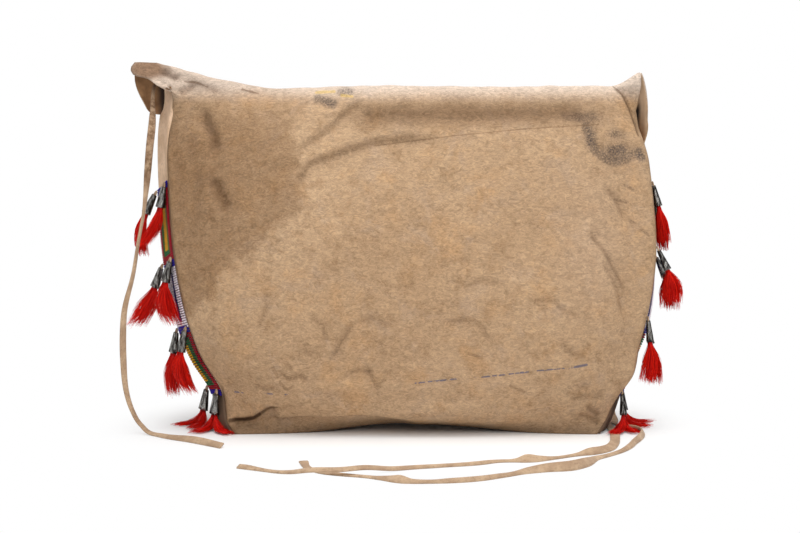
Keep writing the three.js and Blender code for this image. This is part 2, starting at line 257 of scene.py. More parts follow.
# %% Sky and lamps
SKY_LIGHT, SKY_SEEN = 0.30, 1.0
world = bpy.data.worlds.new("studio")
world.use_nodes = True
scene.world = world
sky = world.node_tree
background = sky.nodes["Background"].inputs
sky.links.new(spread(sky, sees_background(sky), 0.0, 1.0, SKY_LIGHT, SKY_SEEN), background["Strength"])
background["Color"].default_value = (1, 1, 1, 1)


def area_lamp(name, place, target, size, power):
    lamp = bpy.data.lights.new(name, "AREA")
    lamp.shape = "RECTANGLE"
    lamp.size, lamp.size_y = size
    lamp.energy = power
    thing = bpy.data.objects.new(name, lamp)
    thing.location = place
    thing.rotation_euler = (Vector(target) - Vector(place)).to_track_quat("-Z", "Y").to_euler()
    scene.collection.objects.link(thing)


area_lamp("overhead", place=(0.14, -0.15, 1.6), target=(0, 0, 0.1), size=(2.2, 1.3), power=27)
area_lamp("front_fill", place=(0.25, -1.9, 1.5), target=(0, 0, 0.2), size=(1.6, 1.2), power=19)

# %% [markdown]
# ## The stuffed form
#
# The CAD source draws the stuffed bag from a short table of girths: at each height the half widths
# to the left and right, the depth of the seam and the depth of the belly. The same table is read
# here with a smooth curve through its rows, so that the hide lies where its solid is.

# %% Girth table
BAG_HEIGHT, BAG_WIDTH, BELLY_DEPTH = 348, 490, 140
FRONT_SWELL, CORNER_HEIGHT, SHOULDER, CROWN = 8, 40, 0.925 * BAG_HEIGHT, 0.6
GUSSET_DEPTH, FRONT_DROP, FULL_DROP, STRIP_BOTTOM, STRIP_TOP = 36, 12, 200, 36, 253
FLARE = {"left": 16, "right": 4}
# Each row: height, half widths left and right, depths of seam and belly, as shares of the bag's size
GIRTH = np.array([
    [0.000, 0.705, 0.770, 0.70, 0.40],
    [0.030, 0.735, 0.803, 0.60, 0.84],
    [0.118, 0.757, 0.857, 0.42, 0.97],
    [0.215, 0.838, 0.905, 0.40, 1.00],
    [0.305, 0.884, 0.949, 0.44, 1.00],
    [0.503, 0.944, 0.996, 0.37, 0.90],
    [0.718, 0.974, 0.982, 0.19, 0.69],
    [0.862, 0.979, 0.953, 0.10, 0.50],
    [0.925, 0.968, 0.935, 0.07, 0.40],
])
print("girths", len(GIRTH))


# %% Smooth curves
def curve_through(knots, values, at):
    """A smooth curve through the values, whose slope at a knot is the mean of the slopes beside it."""
    knots, values = np.asarray(knots, float), np.asarray(values, float)
    secants = np.diff(values, axis=0) / np.diff(knots)[:, None]
    slopes = np.vstack([secants[:1], (secants[1:] + secants[:-1]) / 2, secants[-1:]])
    at = np.clip(np.asarray(at, float), knots[0], knots[-1])
    i = np.clip(np.searchsorted(knots, at, side="right") - 1, 0, len(knots) - 2)
    span = (knots[i + 1] - knots[i])[..., None]
    p = (at - knots[i])[..., None] / span
    start = (2 * p**3 - 3 * p**2 + 1) * values[i] + (p**3 - 2 * p**2 + p) * span * slopes[i]
    end = (3 * p**2 - 2 * p**3) * values[i + 1] + (p**3 - p**2) * span * slopes[i + 1]
    return start + end


def smooth(value, low, high):
    t = np.clip((value - low) / (high - low), 0, 1)
    return t * t * (3 - 2 * t)


# %% Back and front
def girth(height):
    sizes = curve_through(GIRTH[:, 0] * BAG_HEIGHT, GIRTH[:, 1:], height)
    return np.moveaxis(sizes * [BAG_WIDTH / 2, BAG_WIDTH / 2, BELLY_DEPTH / 2, BELLY_DEPTH / 2], -1, 0)


def crown(across):
    return np.clip(1 - across**4, 0, 1) ** CROWN


def from_left(left, right, across):
    return -left + (left + right) * (across + 1) / 2


def fullness(across, height):
    low = (1 - across**2) ** 2
    return low + (crown(across) - low) * smooth(height, 0, CORNER_HEIGHT)


def back_point(across, height):
    across, height = np.broadcast_arrays(np.asarray(across, float), np.asarray(height, float))
    left, right, seam, belly = girth(height)
    depth = seam + (belly - seam) * fullness(across, height)
    return np.stack([from_left(left, right, across), -depth, height], -1)


def front_point(across, height):
    across, height = np.broadcast_arrays(np.asarray(across, float), np.asarray(height, float))
    left, right, seam, belly = girth(height)
    x = from_left(left + FLARE["left"], right + FLARE["right"], across)
    y = GUSSET_DEPTH - seam
    y = y + (belly + FRONT_SWELL - y) * fullness(across, height)
    drop = FRONT_DROP * smooth(height, 0, FULL_DROP) * (1 - smooth(height, STRIP_TOP, SHOULDER))
    return np.stack([x, y, height - drop * across**2], -1)


print("half widths at the belly", girth(np.array(120.0))[:2].round(1))

# %% [markdown]
# ## Ties
#
# Three hide thongs hang from the ends of the flap. A thong is a flat strip that was cut in a spiral
# from a hide, so it twists as it hangs and lies in easy bends on the floor. Each one keeps close to the
# route of its CAD solid. The left one starts a little higher, and on the floor the right ones follow
# the photograph more closely than the plain solids do.

# %% Tie routes
LEFT_TIE_ROUTE = [
    [-256.5, 5, 348], [-257.5, -2, 336], [-256.5, -9, 324], [-255, -24, 308], [-255, -40, 286],
    [-258, -47, 244], [-261, -48, 219], [-266, -48, 194], [-272, -48, 160], [-281, -48, 125],
    [-283, -48, 100], [-283, -48, 75], [-281, -48, 46], [-276, -47, 26], [-267, -48, 10], [-252, -56, 3.4],
    [-236, -70, 2.4], [-212, -86, 2.4], [-195, -100, 2.4], [-178, -115, 2.4],
]
RIGHT_TIE_UPPER_ROUTE = [
    [204, 50.3, 232], [203, 56.3, 218], [202, 62, 196], [202, 64, 165], [202, 64, 110], [203, 63, 60],
    [205, 59, 30], [208, 50, 11], [209, 36, 3.6],
    [208, 16, 2.4], [206, -10, 2.4], [207, -38, 2.4], [204, -67, 2.4], [198, -102, 2.4],
    [190, -125, 2.4], [178, -138, 2.4], [156, -150, 2.4], [135, -163, 2.4], [114, -174, 2.4],
    [82, -177, 2.4], [63, -187, 2.4], [28, -197, 2.4], [-3, -207, 3.4], [-38, -228, 7.6],
    [-60, -236, 7.6], [-86, -238, 7.6], [-109, -226, 4.6], [-131, -213, 2.4], [-153, -201, 2.4],
]
RIGHT_TIE_LOWER_ROUTE = [
    [212, 47.5, 232], [211, 55.3, 218], [210, 61, 196], [210, 64, 165], [210, 64, 110], [211, 63, 60],
    [213, 60, 30], [216, 52, 11], [217, 39, 3.6],
    [216, 20, 2.4], [213, 0, 2.4], [214, -15, 2.4], [221, -26, 2.4], [230, -35, 2.4], [234, -48, 2.4],
    [232, -62, 2.4], [226, -80, 2.4], [219, -96, 2.4], [212, -114, 2.4], [201, -134, 2.4], [187, -151, 2.4],
    [173, -167, 2.4], [160, -194, 2.4], [145, -209, 2.4], [122, -214, 2.4], [103, -222, 2.4], [85, -235, 2.4],
    [61, -250, 2.4], [39, -257, 2.4], [18, -259, 2.4], [-1, -259, 2.4], [-39, -238, 2.4],
    [-59, -231, 2.4], [-77, -222, 2.4], [-90, -205, 2.4], [-96, -178, 2.4],
]
print("route points", [len(r) for r in (LEFT_TIE_ROUTE, RIGHT_TIE_UPPER_ROUTE, RIGHT_TIE_LOWER_ROUTE)])

# %% [markdown]
# The hide of the thongs is a little darker and greyer than the bag. It is smoked brown above the bead
# strips.

# %% Thong material
SMOKED_HEIGHTS = (0.236, 0.258)
thong_hide, tree, shader, place = new_material("thong_hide", {"Roughness": 0.95, "Sheen Weight": 0.12})
tone = mottle(tree, place, srgb(168, 138, 110), srgb(194, 165, 134), 70.0, 0.35, 0.65)
tone = mottle(tree, place, tone, srgb(122, 96, 72), 420.0, 0.5, 0.8, 0.7, detail=6.0)
patches = spread(tree, grain(tree, place, 160.0, 5.0, 0.7), 0.34, 0.62, 1.0, 0.25)
smoked = times(tree, spread(tree, axes_of(tree, place)["Z"], *SMOKED_HEIGHTS), patches)
paint(tree, shader, mix(tree, smoked, tone, srgb(104, 74, 46)))
set_bump(tree, shader, grain(tree, place, 700.0, 6.0), 0.5, 0.0006)
print("thong hide", len(tree.nodes), "nodes")

# %% [markdown]
# A thong is drawn as rings of one flat section along its route. The section is given for one side, in
# shares of the half width and the half thickness. Where a thong lies on the floor, its rings are let
# down until they rest on it.

# %% Thong rings
HALF_SECTION = [(1, 0.35), (0.8, 1), (0, 1.1), (-0.8, 1), (-1, 0.35)]
TIE_SECTION = HALF_SECTION + [(-w, -t) for w, t in HALF_SECTION] + HALF_SECTION[:1]
HALF_THICK, FLOOR_GAP, LYING, HANGING, FINE_STEPS = 0.9, 0.15, 2.5, 9, 12


def resample(route, count):
    """Evenly spaced points on a smooth curve through the route."""
    route = np.array(route, float)
    steps = np.concatenate([[0], np.cumsum(np.linalg.norm(np.diff(route, axis=0), axis=1))])
    fine = curve_through(steps, route, np.linspace(0, steps[-1], count * FINE_STEPS))
    along = np.concatenate([[0], np.cumsum(np.linalg.norm(np.diff(fine, axis=0), axis=1))])
    at = np.linspace(0, along[-1], count)
    return np.stack([np.interp(at, along, fine[:, k]) for k in range(3)], 1), along[-1]


def table_curve(table, at):
    knots, values = zip(*table)
    return curve_through(knots, np.array(values, float)[:, None], at)[:, 0]


def tie_rings(line, turn, half_width):
    """Rings along a line. The flat side is carried back from its end, and then turned by an angle."""
    tangents = np.gradient(line, axis=0)
    tangents /= np.linalg.norm(tangents, axis=1)[:, None]
    side = np.cross(tangents[-1], [0, 0, 1])
    sides = np.zeros_like(line)
    for i in range(len(line) - 1, -1, -1):
        side = side - tangents[i] * side.dot(tangents[i])
        side /= np.linalg.norm(side)
        sides[i] = side
    flats = np.cross(sides, tangents)
    across = sides * np.cos(turn)[:, None] + flats * np.sin(turn)[:, None]
    through = np.cross(across, tangents)
    return np.stack([line + across * (half_width * w)[:, None] + through * (HALF_THICK * t)
                     for w, t in TIE_SECTION], 1)


def tie_piece(name, route, count, twists, widths):
    """A flat thong. Twists and widths are lists of a share of the length and degrees, or millimetres."""
    line, length = resample(route, count)
    shares = np.linspace(0, 1, count)
    rings = tie_rings(line, np.radians(table_curve(twists, shares)), table_curve(widths, shares) / 2)
    lowest = rings[:, :, 2].min(1)
    above = (1 - smooth(line[:, 2], LYING, HANGING)) * (lowest - FLOOR_GAP)
    shift = np.maximum(FLOOR_GAP - lowest, 0) - np.maximum(above, 0)
    rings[:, :, 2] += shift[:, None]
    line[:, 2] += shift
    piece = link_mesh(name, grid_mesh(name, rings, ring=True), thong_hide)
    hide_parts(name)
    print(name, round(length), "mm long")


# %% Build the ties
tie_piece(
    "left_tie", LEFT_TIE_ROUTE, 150,
    twists=[(0, -40), (0.1, -45), (0.15, -40), (0.22, -30), (0.30, 10), (0.4, -5), (0.5, -35), (0.58, -49),
            (0.68, -30), (0.76, -8), (0.84, -22), (0.92, -40), (1, -36)],
    widths=[(0, 3.5), (0.04, 4), (0.09, 7), (0.2, 7.5), (0.28, 6.5), (0.34, 5), (0.45, 5), (0.58, 6.5),
            (0.72, 5.5), (0.84, 7), (0.92, 8), (1, 7)])
tie_piece(
    "right_tie_upper", RIGHT_TIE_UPPER_ROUTE, 260,
    twists=[(0, 0), (0.36, 0), (0.44, 4), (0.53, 35), (0.55, 35), (0.57, 12), (0.6, 10), (0.62, 32),
            (0.64, 45), (0.655, 15), (0.67, 10), (0.69, 20), (0.73, 15), (0.78, 20), (0.82, 30),
            (0.87, 25), (0.91, 25), (0.96, 10), (0.99, 25), (1, 22)],
    widths=[(0, 6), (0.36, 8), (0.4, 9.6), (0.47, 9.6), (0.53, 9), (0.55, 9), (0.57, 5), (0.6, 5),
            (0.62, 7.5), (0.64, 8.8), (0.655, 5), (0.67, 5), (0.69, 5.5), (0.73, 5.5), (0.78, 6),
            (0.82, 6), (0.87, 6.5), (0.91, 6.5), (0.96, 4.5), (0.99, 6.5), (1, 6.5)])
tie_piece(
    "right_tie_lower", RIGHT_TIE_LOWER_ROUTE, 260,
    twists=[(0, 0), (0.33, 0), (0.36, 30), (0.39, 60), (0.42, 62), (0.49, 40), (0.53, 20), (0.56, 15),
            (0.58, 30), (0.61, 50), (0.63, 58), (0.66, 48), (0.69, 32), (0.71, 20), (0.74, 30), (0.79, 30),
            (0.81, 15), (0.83, 25), (0.845, 40), (0.86, 30), (0.88, 8), (0.93, 8), (1, 0)],
    widths=[(0, 6), (0.36, 7), (0.42, 7), (0.49, 6), (0.53, 5), (0.56, 5), (0.58, 6), (0.61, 9), (0.63, 9.6),
            (0.66, 9.5), (0.69, 8), (0.71, 6), (0.74, 6), (0.79, 6), (0.81, 5.5), (0.83, 6), (0.845, 8.6),
            (0.86, 7), (0.88, 5), (0.93, 6), (0.975, 7), (1, 9)])

# %% [markdown]
# ## The hide
#
# One hide makes the front, the base, the back, the top fold and the flap. It is drawn as one sheet of
# rows that run across the bag: down the front, under the base, up the back, over the fold and down
# the flap. The two ends of each row are the seams. The fold follows the rings of the CAD source.

# %% Fold
FOLD_RADIUS, FOLD_END_SHARE, SHOULDER_STEP = 12, 0.35, 16
FLAP_EDGE, FLAP_THICKNESS = 235, 2.5
# Each ring: its drop below the top and its depths behind and in front, in fold radii, and then its
# shares of an ear's reach and rise
FOLD_RINGS = [
    (1.00, 1.65, 2.35, 0.45, -0.10),
    (0.35, 1.00, 1.60, 1.00, 0.50),
    (0.00, 0.35, 0.65, 0.90, 1.00),
]
# Each ear: its reach and its rise, and where across the bag it starts and is full
EARS = {-1: (36, 23, 0.55, 0.92), 1: (11, 13, 0.88, 0.98)}


def fold_point(across, below, depth, reach, rise):
    left, right, _, _ = girth(np.array(SHOULDER))
    x = from_left(left, right, across)
    z = np.full_like(x, BAG_HEIGHT - below * FOLD_RADIUS)
    for sign, (ear_reach, ear_rise, start, full) in EARS.items():
        share = np.clip((sign * across - start) / (full - start), 0, 1) ** 2
        x = x + sign * ear_reach * reach * share
        z = z + ear_rise * rise * share
    y = depth * FOLD_RADIUS * (FOLD_END_SHARE + (1 - FOLD_END_SHARE) * crown(across))
    return np.stack([x, y, z], -1)


def flap_point(across, height):
    point = front_point(across, height)
    point[..., 1] += FLAP_THICKNESS * fullness(np.asarray(across, float), height)
    return point


def fold_rows(across, shares):
    """Rows over the fold, from the back shoulder at 0 to the front shoulder at 1."""
    stations = [back_point(across, SHOULDER - SHOULDER_STEP), back_point(across, SHOULDER)]
    stations += [fold_point(across, low, -back, reach, rise) for low, back, _, reach, rise in FOLD_RINGS]
    stations += [fold_point(across, low, front, reach, rise)
                 for low, _, front, reach, rise in FOLD_RINGS[::-1]]
    stations += [flap_point(across, SHOULDER), flap_point(across, SHOULDER - SHOULDER_STEP)]
    flat = np.stack(stations).reshape(len(stations), -1)
    knots = (np.arange(len(stations)) - 1) / (len(stations) - 3)
    return curve_through(knots, flat, np.asarray(shares)).reshape(len(shares), len(across), 3)


print("top of the fold", fold_rows(np.zeros(1), [0.5])[0, 0].round(1))

# %% [markdown]
# The flap is wider than the back, so each end of the fold stands out as an ear. At the left ear the
# hide turns out in a lip, and the flesh side of the flap shows under it, painted dark as painted shade.
# These points are where the end of the sheet runs; the hide near it follows with a soft falloff.

# %% Ears
LEFT_EAR = {
    0.00: (-237.5, -5, 322), 0.07: (-236.5, -8, 334), 0.12: (-237, -12, 341), 0.16: (-240, -15, 344),
    0.22: (-246, -16, 345), 0.29: (-252.5, -16, 348), 0.36: (-261, -13, 354), 0.43: (-276, -8, 358.5),
    0.48: (-279, -4, 365), 0.53: (-274, 0, 371.5), 0.60: (-277.5, 8, 355), 0.78: (-268.5, 14, 328),
    0.90: (-264, 22, 321), 1.00: (-254, 31, 320),
}
RIGHT_EAR = {
    0.00: (231, -4, 322), 0.14: (233.5, -4, 333), 0.26: (235, -4, 345), 0.38: (235, -3, 354),
    0.50: (236, 0, 360), 0.58: (239, 2, 353), 0.68: (241.5, 3.5, 343), 0.82: (243.5, 6, 328),
    1.00: (244.5, 11, 312),
}
LEFT_EAR_START, RIGHT_EAR_START = 0.78, 0.86
EVEN = np.linspace(-1, 1, 201)
COLUMNS = EVEN * 0.75 + np.sin(EVEN * math.pi / 2) * 0.25
FOLD_SHARES = np.linspace(0, 1, 40)


def ear_offsets(ear, shares, end):
    path = curve_through(list(ear), list(ear.values()), shares)
    return path - fold_rows(np.array([end]), shares)[:, 0]


def near_end(end, start):
    """Nothing up to a start across the bag, then more and more up to one at the end of the row."""
    return np.clip((COLUMNS * end - start) / (1 - start), 0, 1) ** 2


fold = fold_rows(COLUMNS, FOLD_SHARES)
for ear, end, start in ((LEFT_EAR, -1.0, LEFT_EAR_START), (RIGHT_EAR, 1.0, RIGHT_EAR_START)):
    fold = fold + ear_offsets(ear, FOLD_SHARES, end)[:, None] * near_end(end, start)[None, :, None]
print("ears from", fold[..., 0].min().round(1), "to", fold[..., 0].max().round(1), "mm")

# %% [markdown]
# ## Rows of the sheet
#
# The rows stand close together near the base, where the hide bends most.

# %% Sheet rows
front_heights = np.linspace(250, 0, 24)
back_heights = np.concatenate([np.linspace(0, 60, 35), np.linspace(63, SHOULDER - 3, 92)])
flap_heights = np.linspace(SHOULDER - 4, FLAP_EDGE, 16)
base_shares = np.linspace(0, 1, 9)[1:-1, None, None]
front = np.stack([front_point(COLUMNS, h) for h in front_heights])
base = front[-1] + (back_point(COLUMNS, 0) - front[-1]) * base_shares
back = np.stack([back_point(COLUMNS, h) for h in back_heights])
flap = np.stack([flap_point(COLUMNS, h) for h in flap_heights])
first_back = len(front) + len(base)
print("front, base, back and flap have", [len(rows) for rows in (front, base, back, flap)], "rows")

# %% [markdown]
# The back's two side edges are sewn over the edges of the gussets, so there the hide stands out in a
# soft lip, widest at the lower right. The hide beside the right ear follows it. The bag stands on its
# corners, and the hide is lifted a little off the floor between them.

# %% Lips and arch
LIP_RISES, LIP_FALLS, LIP_DEPTH = (12, 60), (270, 316), -3.5
LEFT_LIP, LEFT_SOFT, RIGHT_LIP, RIGHT_SOFT = -2.3, 5, 4.3, 9
RIGHT_BULGE, BULGE_HEIGHT, BULGE_REACH = 7.0, 58, 27
BACK_FADE, FLAP_FADE = 24, 46
ARCH, ARCH_MIDDLE, ARCH_ACROSS, ARCH_HEIGHT = 6.0, 10, (10, 135), (0, 50)

lip_share = smooth(back_heights, *LIP_RISES) * (1 - smooth(back_heights, *LIP_FALLS))
bulged = RIGHT_LIP + RIGHT_BULGE * np.exp(-(((back_heights - BULGE_HEIGHT) / BULGE_REACH) ** 2))
for end, reach, soft in ((0, np.full_like(bulged, LEFT_LIP), LEFT_SOFT), (-1, bulged, RIGHT_SOFT)):
    from_edge = np.abs(back[..., 0] - back[:, end, 0][:, None])
    lip = np.exp(-((from_edge / soft) ** 2)) * lip_share[:, None]
    moves = np.stack([reach, np.full_like(reach, LIP_DEPTH), np.zeros_like(reach)], 1)
    back = back + lip[..., None] * moves[:, None]
back_end, flap_end = ear_offsets(RIGHT_EAR, np.array([0.0, 1.0]), 1.0)
ear_share = near_end(1.0, RIGHT_EAR_START)
back_share = ear_share * (1 - smooth(SHOULDER - back_heights, 0, BACK_FADE))[:, None]
back = back + back_share[..., None] * back_end
flap_share = ear_share * (1 - smooth(SHOULDER - flap_heights, 0, FLAP_FADE))[:, None]
flap = flap + flap_share[..., None] * flap_end
sheet = np.concatenate([front, base, back, fold, flap])
between_corners = 1 - smooth(np.abs(sheet[..., 0] - ARCH_MIDDLE), *ARCH_ACROSS)
sheet[..., 2] += ARCH * between_corners * (1 - smooth(sheet[..., 2], *ARCH_HEIGHT))
print("rows", len(sheet), "with the back from row", first_back)

# %% [markdown]
# ## Lumps and creases
#
# Stuffed hide is never quite even. Slow noise gives it shallow lumps. A groove is a line on the back,
# in millimetres across and up, with a depth and a width; a negative depth makes a ridge. A fold is a
# line with the hide lower on its right-hand side, as where one part of the hide laps over the next. The
# last two folds are the tucked corner and the edge where the base is turned under.

# %% Grooves and folds
GROOVES = [
    ([(-200, 8), (-186, 6), (-170, 8)], -2.0, 6.0),
    ([(-207, 323), (-195, 297), (-191, 284)], 4.2, 6.0),
    ([(-193, 254), (-177, 225)], 2.8, 6.0),
    ([(-201, 274), (-201, 218)], -2.6, 9.0),
    ([(-60, 318), (60, 321), (190, 321)], 2.2, 13.0),
    ([(-130, 50), (-40, 49), (60, 48)], -1.4, 7.0),
    ([(-139, 146), (-139, 129), (-147, 110)], 1.2, 3.0),
    ([(-54, 114), (-67, 94), (-74, 80)], 1.4, 3.0),
    ([(-47, 117), (-31, 120), (-21, 110)], 1.1, 3.0),
    ([(-40, 70), (-34, 57), (-28, 48)], 1.2, 3.0),
    ([(-104, 92), (-94, 82)], 1.2, 3.0),
    ([(178, 28), (184, 24), (192, 16)], 2.2, 3.0),
    ([(170, 19), (180, 17), (192, 10)], 1.8, 3.0),
    ([(164, 52), (180, 47)], 1.0, 2.5),
    ([(-128, 66), (-117, 58), (-107, 62), (-99, 56)], 1.6, 2.6),
    ([(-152, 52), (-140, 47), (-131, 50)], 1.3, 2.6),
    ([(-96, 120), (-84, 112), (-80, 98)], 1.2, 2.6),
    ([(-60, 62), (-48, 68), (-36, 64)], 1.2, 2.6),
    ([(52, 148), (70, 156), (88, 152)], 1.2, 3.0),
    ([(150, 96), (160, 84), (174, 80)], 1.3, 2.8),
    ([(196, 246), (208, 232), (214, 216)], 1.4, 3.0),
    ([(-190, 342), (-206, 348), (-222, 353)], 1.6, 3.5),
    ([(-230, 356), (-241, 360), (-249, 366)], 4.5, 5.0),
    ([(-236, 344), (-240, 350), (-246, 356)], -3.0, 6.0),
    ([(-262, 362), (-268, 366)], -2.5, 6.0),
    ([(-214, 347), (-222, 345), (-229, 340)], 2.4, 3.5),
]
FOLDS = [
    ([(-114, 245), (-99, 271), (-60, 286), (-31, 294), (2, 297), (31, 295)], 3.8, 6.0, 24.0),
    ([(-113, 282), (-80, 306), (-60, 326), (-45, 337)], 2.8, 5.0, 16.0),
    ([(215, 143), (205, 163), (191, 186), (172, 205)], 4.2, 3.5, 18.0),
    ([(212, 118), (207, 138), (200, 158), (188, 176)], 2.8, 3.5, 13.0),
    ([(31, 117), (64, 119), (73, 110), (83, 94)], 2.4, 3.2, 12.0),
    ([(120, 136), (142, 139), (149, 129), (176, 117)], 2.2, 3.2, 12.0),
    ([(196, 40), (186, 36), (172, 38), (160, 32)], 3.0, 4.0, 12.0),
    ([(-178, 15), (-166, 14.5), (-155, 16), (-147, 21), (-139.5, 27), (-130, 30)], 9.0, 3.0, 15.0),
    ([(-155, 12), (-113, 17), (-74, 18), (-51, 20), (-32, 19), (-9, 15), (12, 10)], 5.0, 3.0, 40.0),
]
print("grooves", len(GROOVES), "folds", len(FOLDS))


# %% Distance and noise
def line_distance(points, x, z):
    """Distance from a broken line, positive on its right-hand side, and the share of the way along it."""
    best, share = np.full(x.shape, 1e9), np.zeros(x.shape)
    pieces = len(points) - 1
    for i, ((ax, az), (bx, bz)) in enumerate(zip(points, points[1:])):
        dx, dz = bx - ax, bz - az
        t = np.clip(((x - ax) * dx + (z - az) * dz) / (dx * dx + dz * dz), 0, 1)
        distance = np.hypot(x - ax - t * dx, z - az - t * dz)
        distance = np.where((x - ax) * dz - (z - az) * dx < 0, -distance, distance)
        nearer = np.abs(distance) < np.abs(best)
        share = np.where(nearer, (i + t) / pieces, share)
        best = np.where(nearer, distance, best)
    return best, share


def sheet_normals(points):
    normals = np.cross(np.gradient(points, axis=1), np.gradient(points, axis=0))
    return normals / np.maximum(np.linalg.norm(normals, axis=2), 1e-9)[..., None]


def slow_noise(points, size, seed):
    flat = points.reshape(-1, 3) / size + seed
    return np.array([noise.noise(Vector(p)) for p in flat]).reshape(points.shape[:2])


# %% [markdown]
# ## Let the back settle
#
# The back is sewn to a stiffer rim all round, and hide stretches in use, so it is a little too large for
# that rim. A coarse copy of it is simulated as cloth with half a percent of slack. It is held at its
# rim and tied softly to its first place, as the stuffing would hold it. The slack buckles into
# puckers along the seams and soft folds between them. Part of that rise and fall is kept.

# %% Settle the back
SLACK, SOFT_HOLD, RIM_WIDTH, SETTLE_FRAMES = 0.005, 0.04, 4, 24
CLOTH = {
    "vertex_group_mass": "held", "pin_stiffness": 1.0, "quality": 6, "mass": 0.2, "shrink_min": -SLACK,
    "tension_stiffness": 40.0, "compression_stiffness": 40.0, "shear_stiffness": 15.0,
    "bending_stiffness": 3.0, "air_damping": 2.0,
}
COARSE_ROWS, COARSE_COLUMNS, FIRST_LUMPS, BLUR_PASSES = 3, 4, 0.6, 2


def settle(rows):
    """Where a slack sheet comes to rest, with its rim held. The cloth and its copy are removed."""
    piece = bpy.data.objects.new("settling", grid_mesh("settling", rows))
    scene.collection.objects.link(piece)
    held = piece.vertex_groups.new(name="held")
    high, wide = rows.shape[:2]
    for r in range(high):
        for c in range(wide):
            from_rim = min(r, high - 1 - r, c, wide - 1 - c)
            held.add([r * wide + c], max(SOFT_HOLD, 1 - from_rim / RIM_WIDTH), "REPLACE")
    cloth = piece.modifiers.new("cloth", "CLOTH")
    cloth.point_cache.frame_end = SETTLE_FRAMES
    cloth.settings.effector_weights.gravity = 0.0
    for key, value in CLOTH.items():
        setattr(cloth.settings, key, value)
    for step in range(1, SETTLE_FRAMES + 1):
        scene.frame_set(step)
    shown = piece.evaluated_get(bpy.context.evaluated_depsgraph_get()).data
    places = np.array([v.co[:] for v in shown.vertices]).reshape(rows.shape) / MM
    bpy.data.objects.remove(piece)
    scene.frame_set(1)
    return places


coarse = back[::COARSE_ROWS, ::COARSE_COLUMNS]
coarse = coarse + sheet_normals(coarse) * (FIRST_LUMPS * slow_noise(coarse, 30, 9.1))[..., None]
buckles = ((settle(coarse) - coarse) * sheet_normals(coarse)).sum(-1)
for _ in range(BLUR_PASSES):
    padded = np.pad(buckles, 1, mode="edge")
    beside = padded[:-2, 1:-1] + padded[2:, 1:-1] + padded[1:-1, :-2] + padded[1:-1, 2:]
    buckles = (beside + 4 * buckles) / 8
buckles = curve_through(np.arange(0, len(back), COARSE_ROWS), buckles, np.arange(len(back)))
buckles = curve_through(np.arange(0, len(COLUMNS), COARSE_COLUMNS), buckles.T, np.arange(len(COLUMNS))).T
print("buckles from", buckles.min().round(2), "to", buckles.max().round(2), "mm")

# %% Lumps
# Each kind of lump: its height and size in millimetres, and its seed
LARGE, MIDDLE, SMALL = (3.2, 110, 3.7), (1.2, 38, 9.1), (0.8, 15, 5.3)
SUNK, BUCKLE_SHARE, BUCKLE_LIMIT, FRONT_SHARE = 1.4, 0.7, 3, 0.3
INSIDE_ENDS, INSIDE_FOOT = (0.0, 0.10), (4, 36)


def lumps(height, size, seed):
    return height * slow_noise(sheet, size, seed)


normals = sheet_normals(sheet)
inside = smooth(1 - np.abs(COLUMNS), *INSIDE_ENDS)[None, :] * smooth(sheet[..., 2], *INSIDE_FOOT)
relief = (lumps(*LARGE) + lumps(*MIDDLE) - SUNK) * inside
relief[first_back:first_back + len(back)] += BUCKLE_SHARE * np.clip(buckles, -BUCKLE_LIMIT, BUCKLE_LIMIT)
relief += lumps(*SMALL) * inside
relief[:first_back] = np.minimum(relief[:first_back], 0) * FRONT_SHARE
print("lumps from", relief.min().round(1), "to", relief.max().round(1), "mm")

# %% [markdown]
# The grooves and folds go on the back and the rear of the top fold. A band along each is also kept as
# painted shade, which the material reads and paints darker. Ridges get no painted shade.

# %% Creases
GROOVE_DEPTH, GROOVE_FULL_SHADE, FOLD_FULL_SHADE, REAR_ROWS = 1.3, 2.2, 5.2, (13, 20)
fold_row = np.arange(len(sheet)) - first_back - len(back)
on_back = ((fold_row >= -len(back)) * (1 - smooth(fold_row, *REAR_ROWS)))[:, None] * np.ones(len(COLUMNS))
painted_shade = np.zeros(sheet.shape[:2])
for points, depth, width in GROOVES:
    distance, share = line_distance(points, sheet[..., 0], sheet[..., 2])
    ends = np.minimum(smooth(share, 0, 0.15) * (1 - smooth(share, 0.85, 1)) + 0.35, 1)
    profile = np.exp(-((distance / width) ** 2)) * ends
    relief -= GROOVE_DEPTH * depth * profile * on_back
    painted_shade += np.clip(depth / GROOVE_FULL_SHADE, 0, 1) * profile * on_back
for points, depth, width, fade in FOLDS:
    distance, share = line_distance(points, sheet[..., 0], sheet[..., 2])
    ends = smooth(share, 0, 0.12) * (1 - smooth(share, 0.8, 1))
    step = smooth(distance, -width / 2, width / 2) * np.exp(-((np.maximum(distance, 0) / fade) ** 2))
    relief -= depth * step * ends * on_back * smooth(sheet[..., 2], 0.5, 10)
    fold_shade_band = np.exp(-(((distance - width / 3) / (width * 0.7)) ** 2))
    painted_shade += depth / FOLD_FULL_SHADE * fold_shade_band * ends * on_back
sheet = sheet + normals * relief[..., None]
print("relief from", relief.min().round(1), "to", relief.max().round(1), "mm")
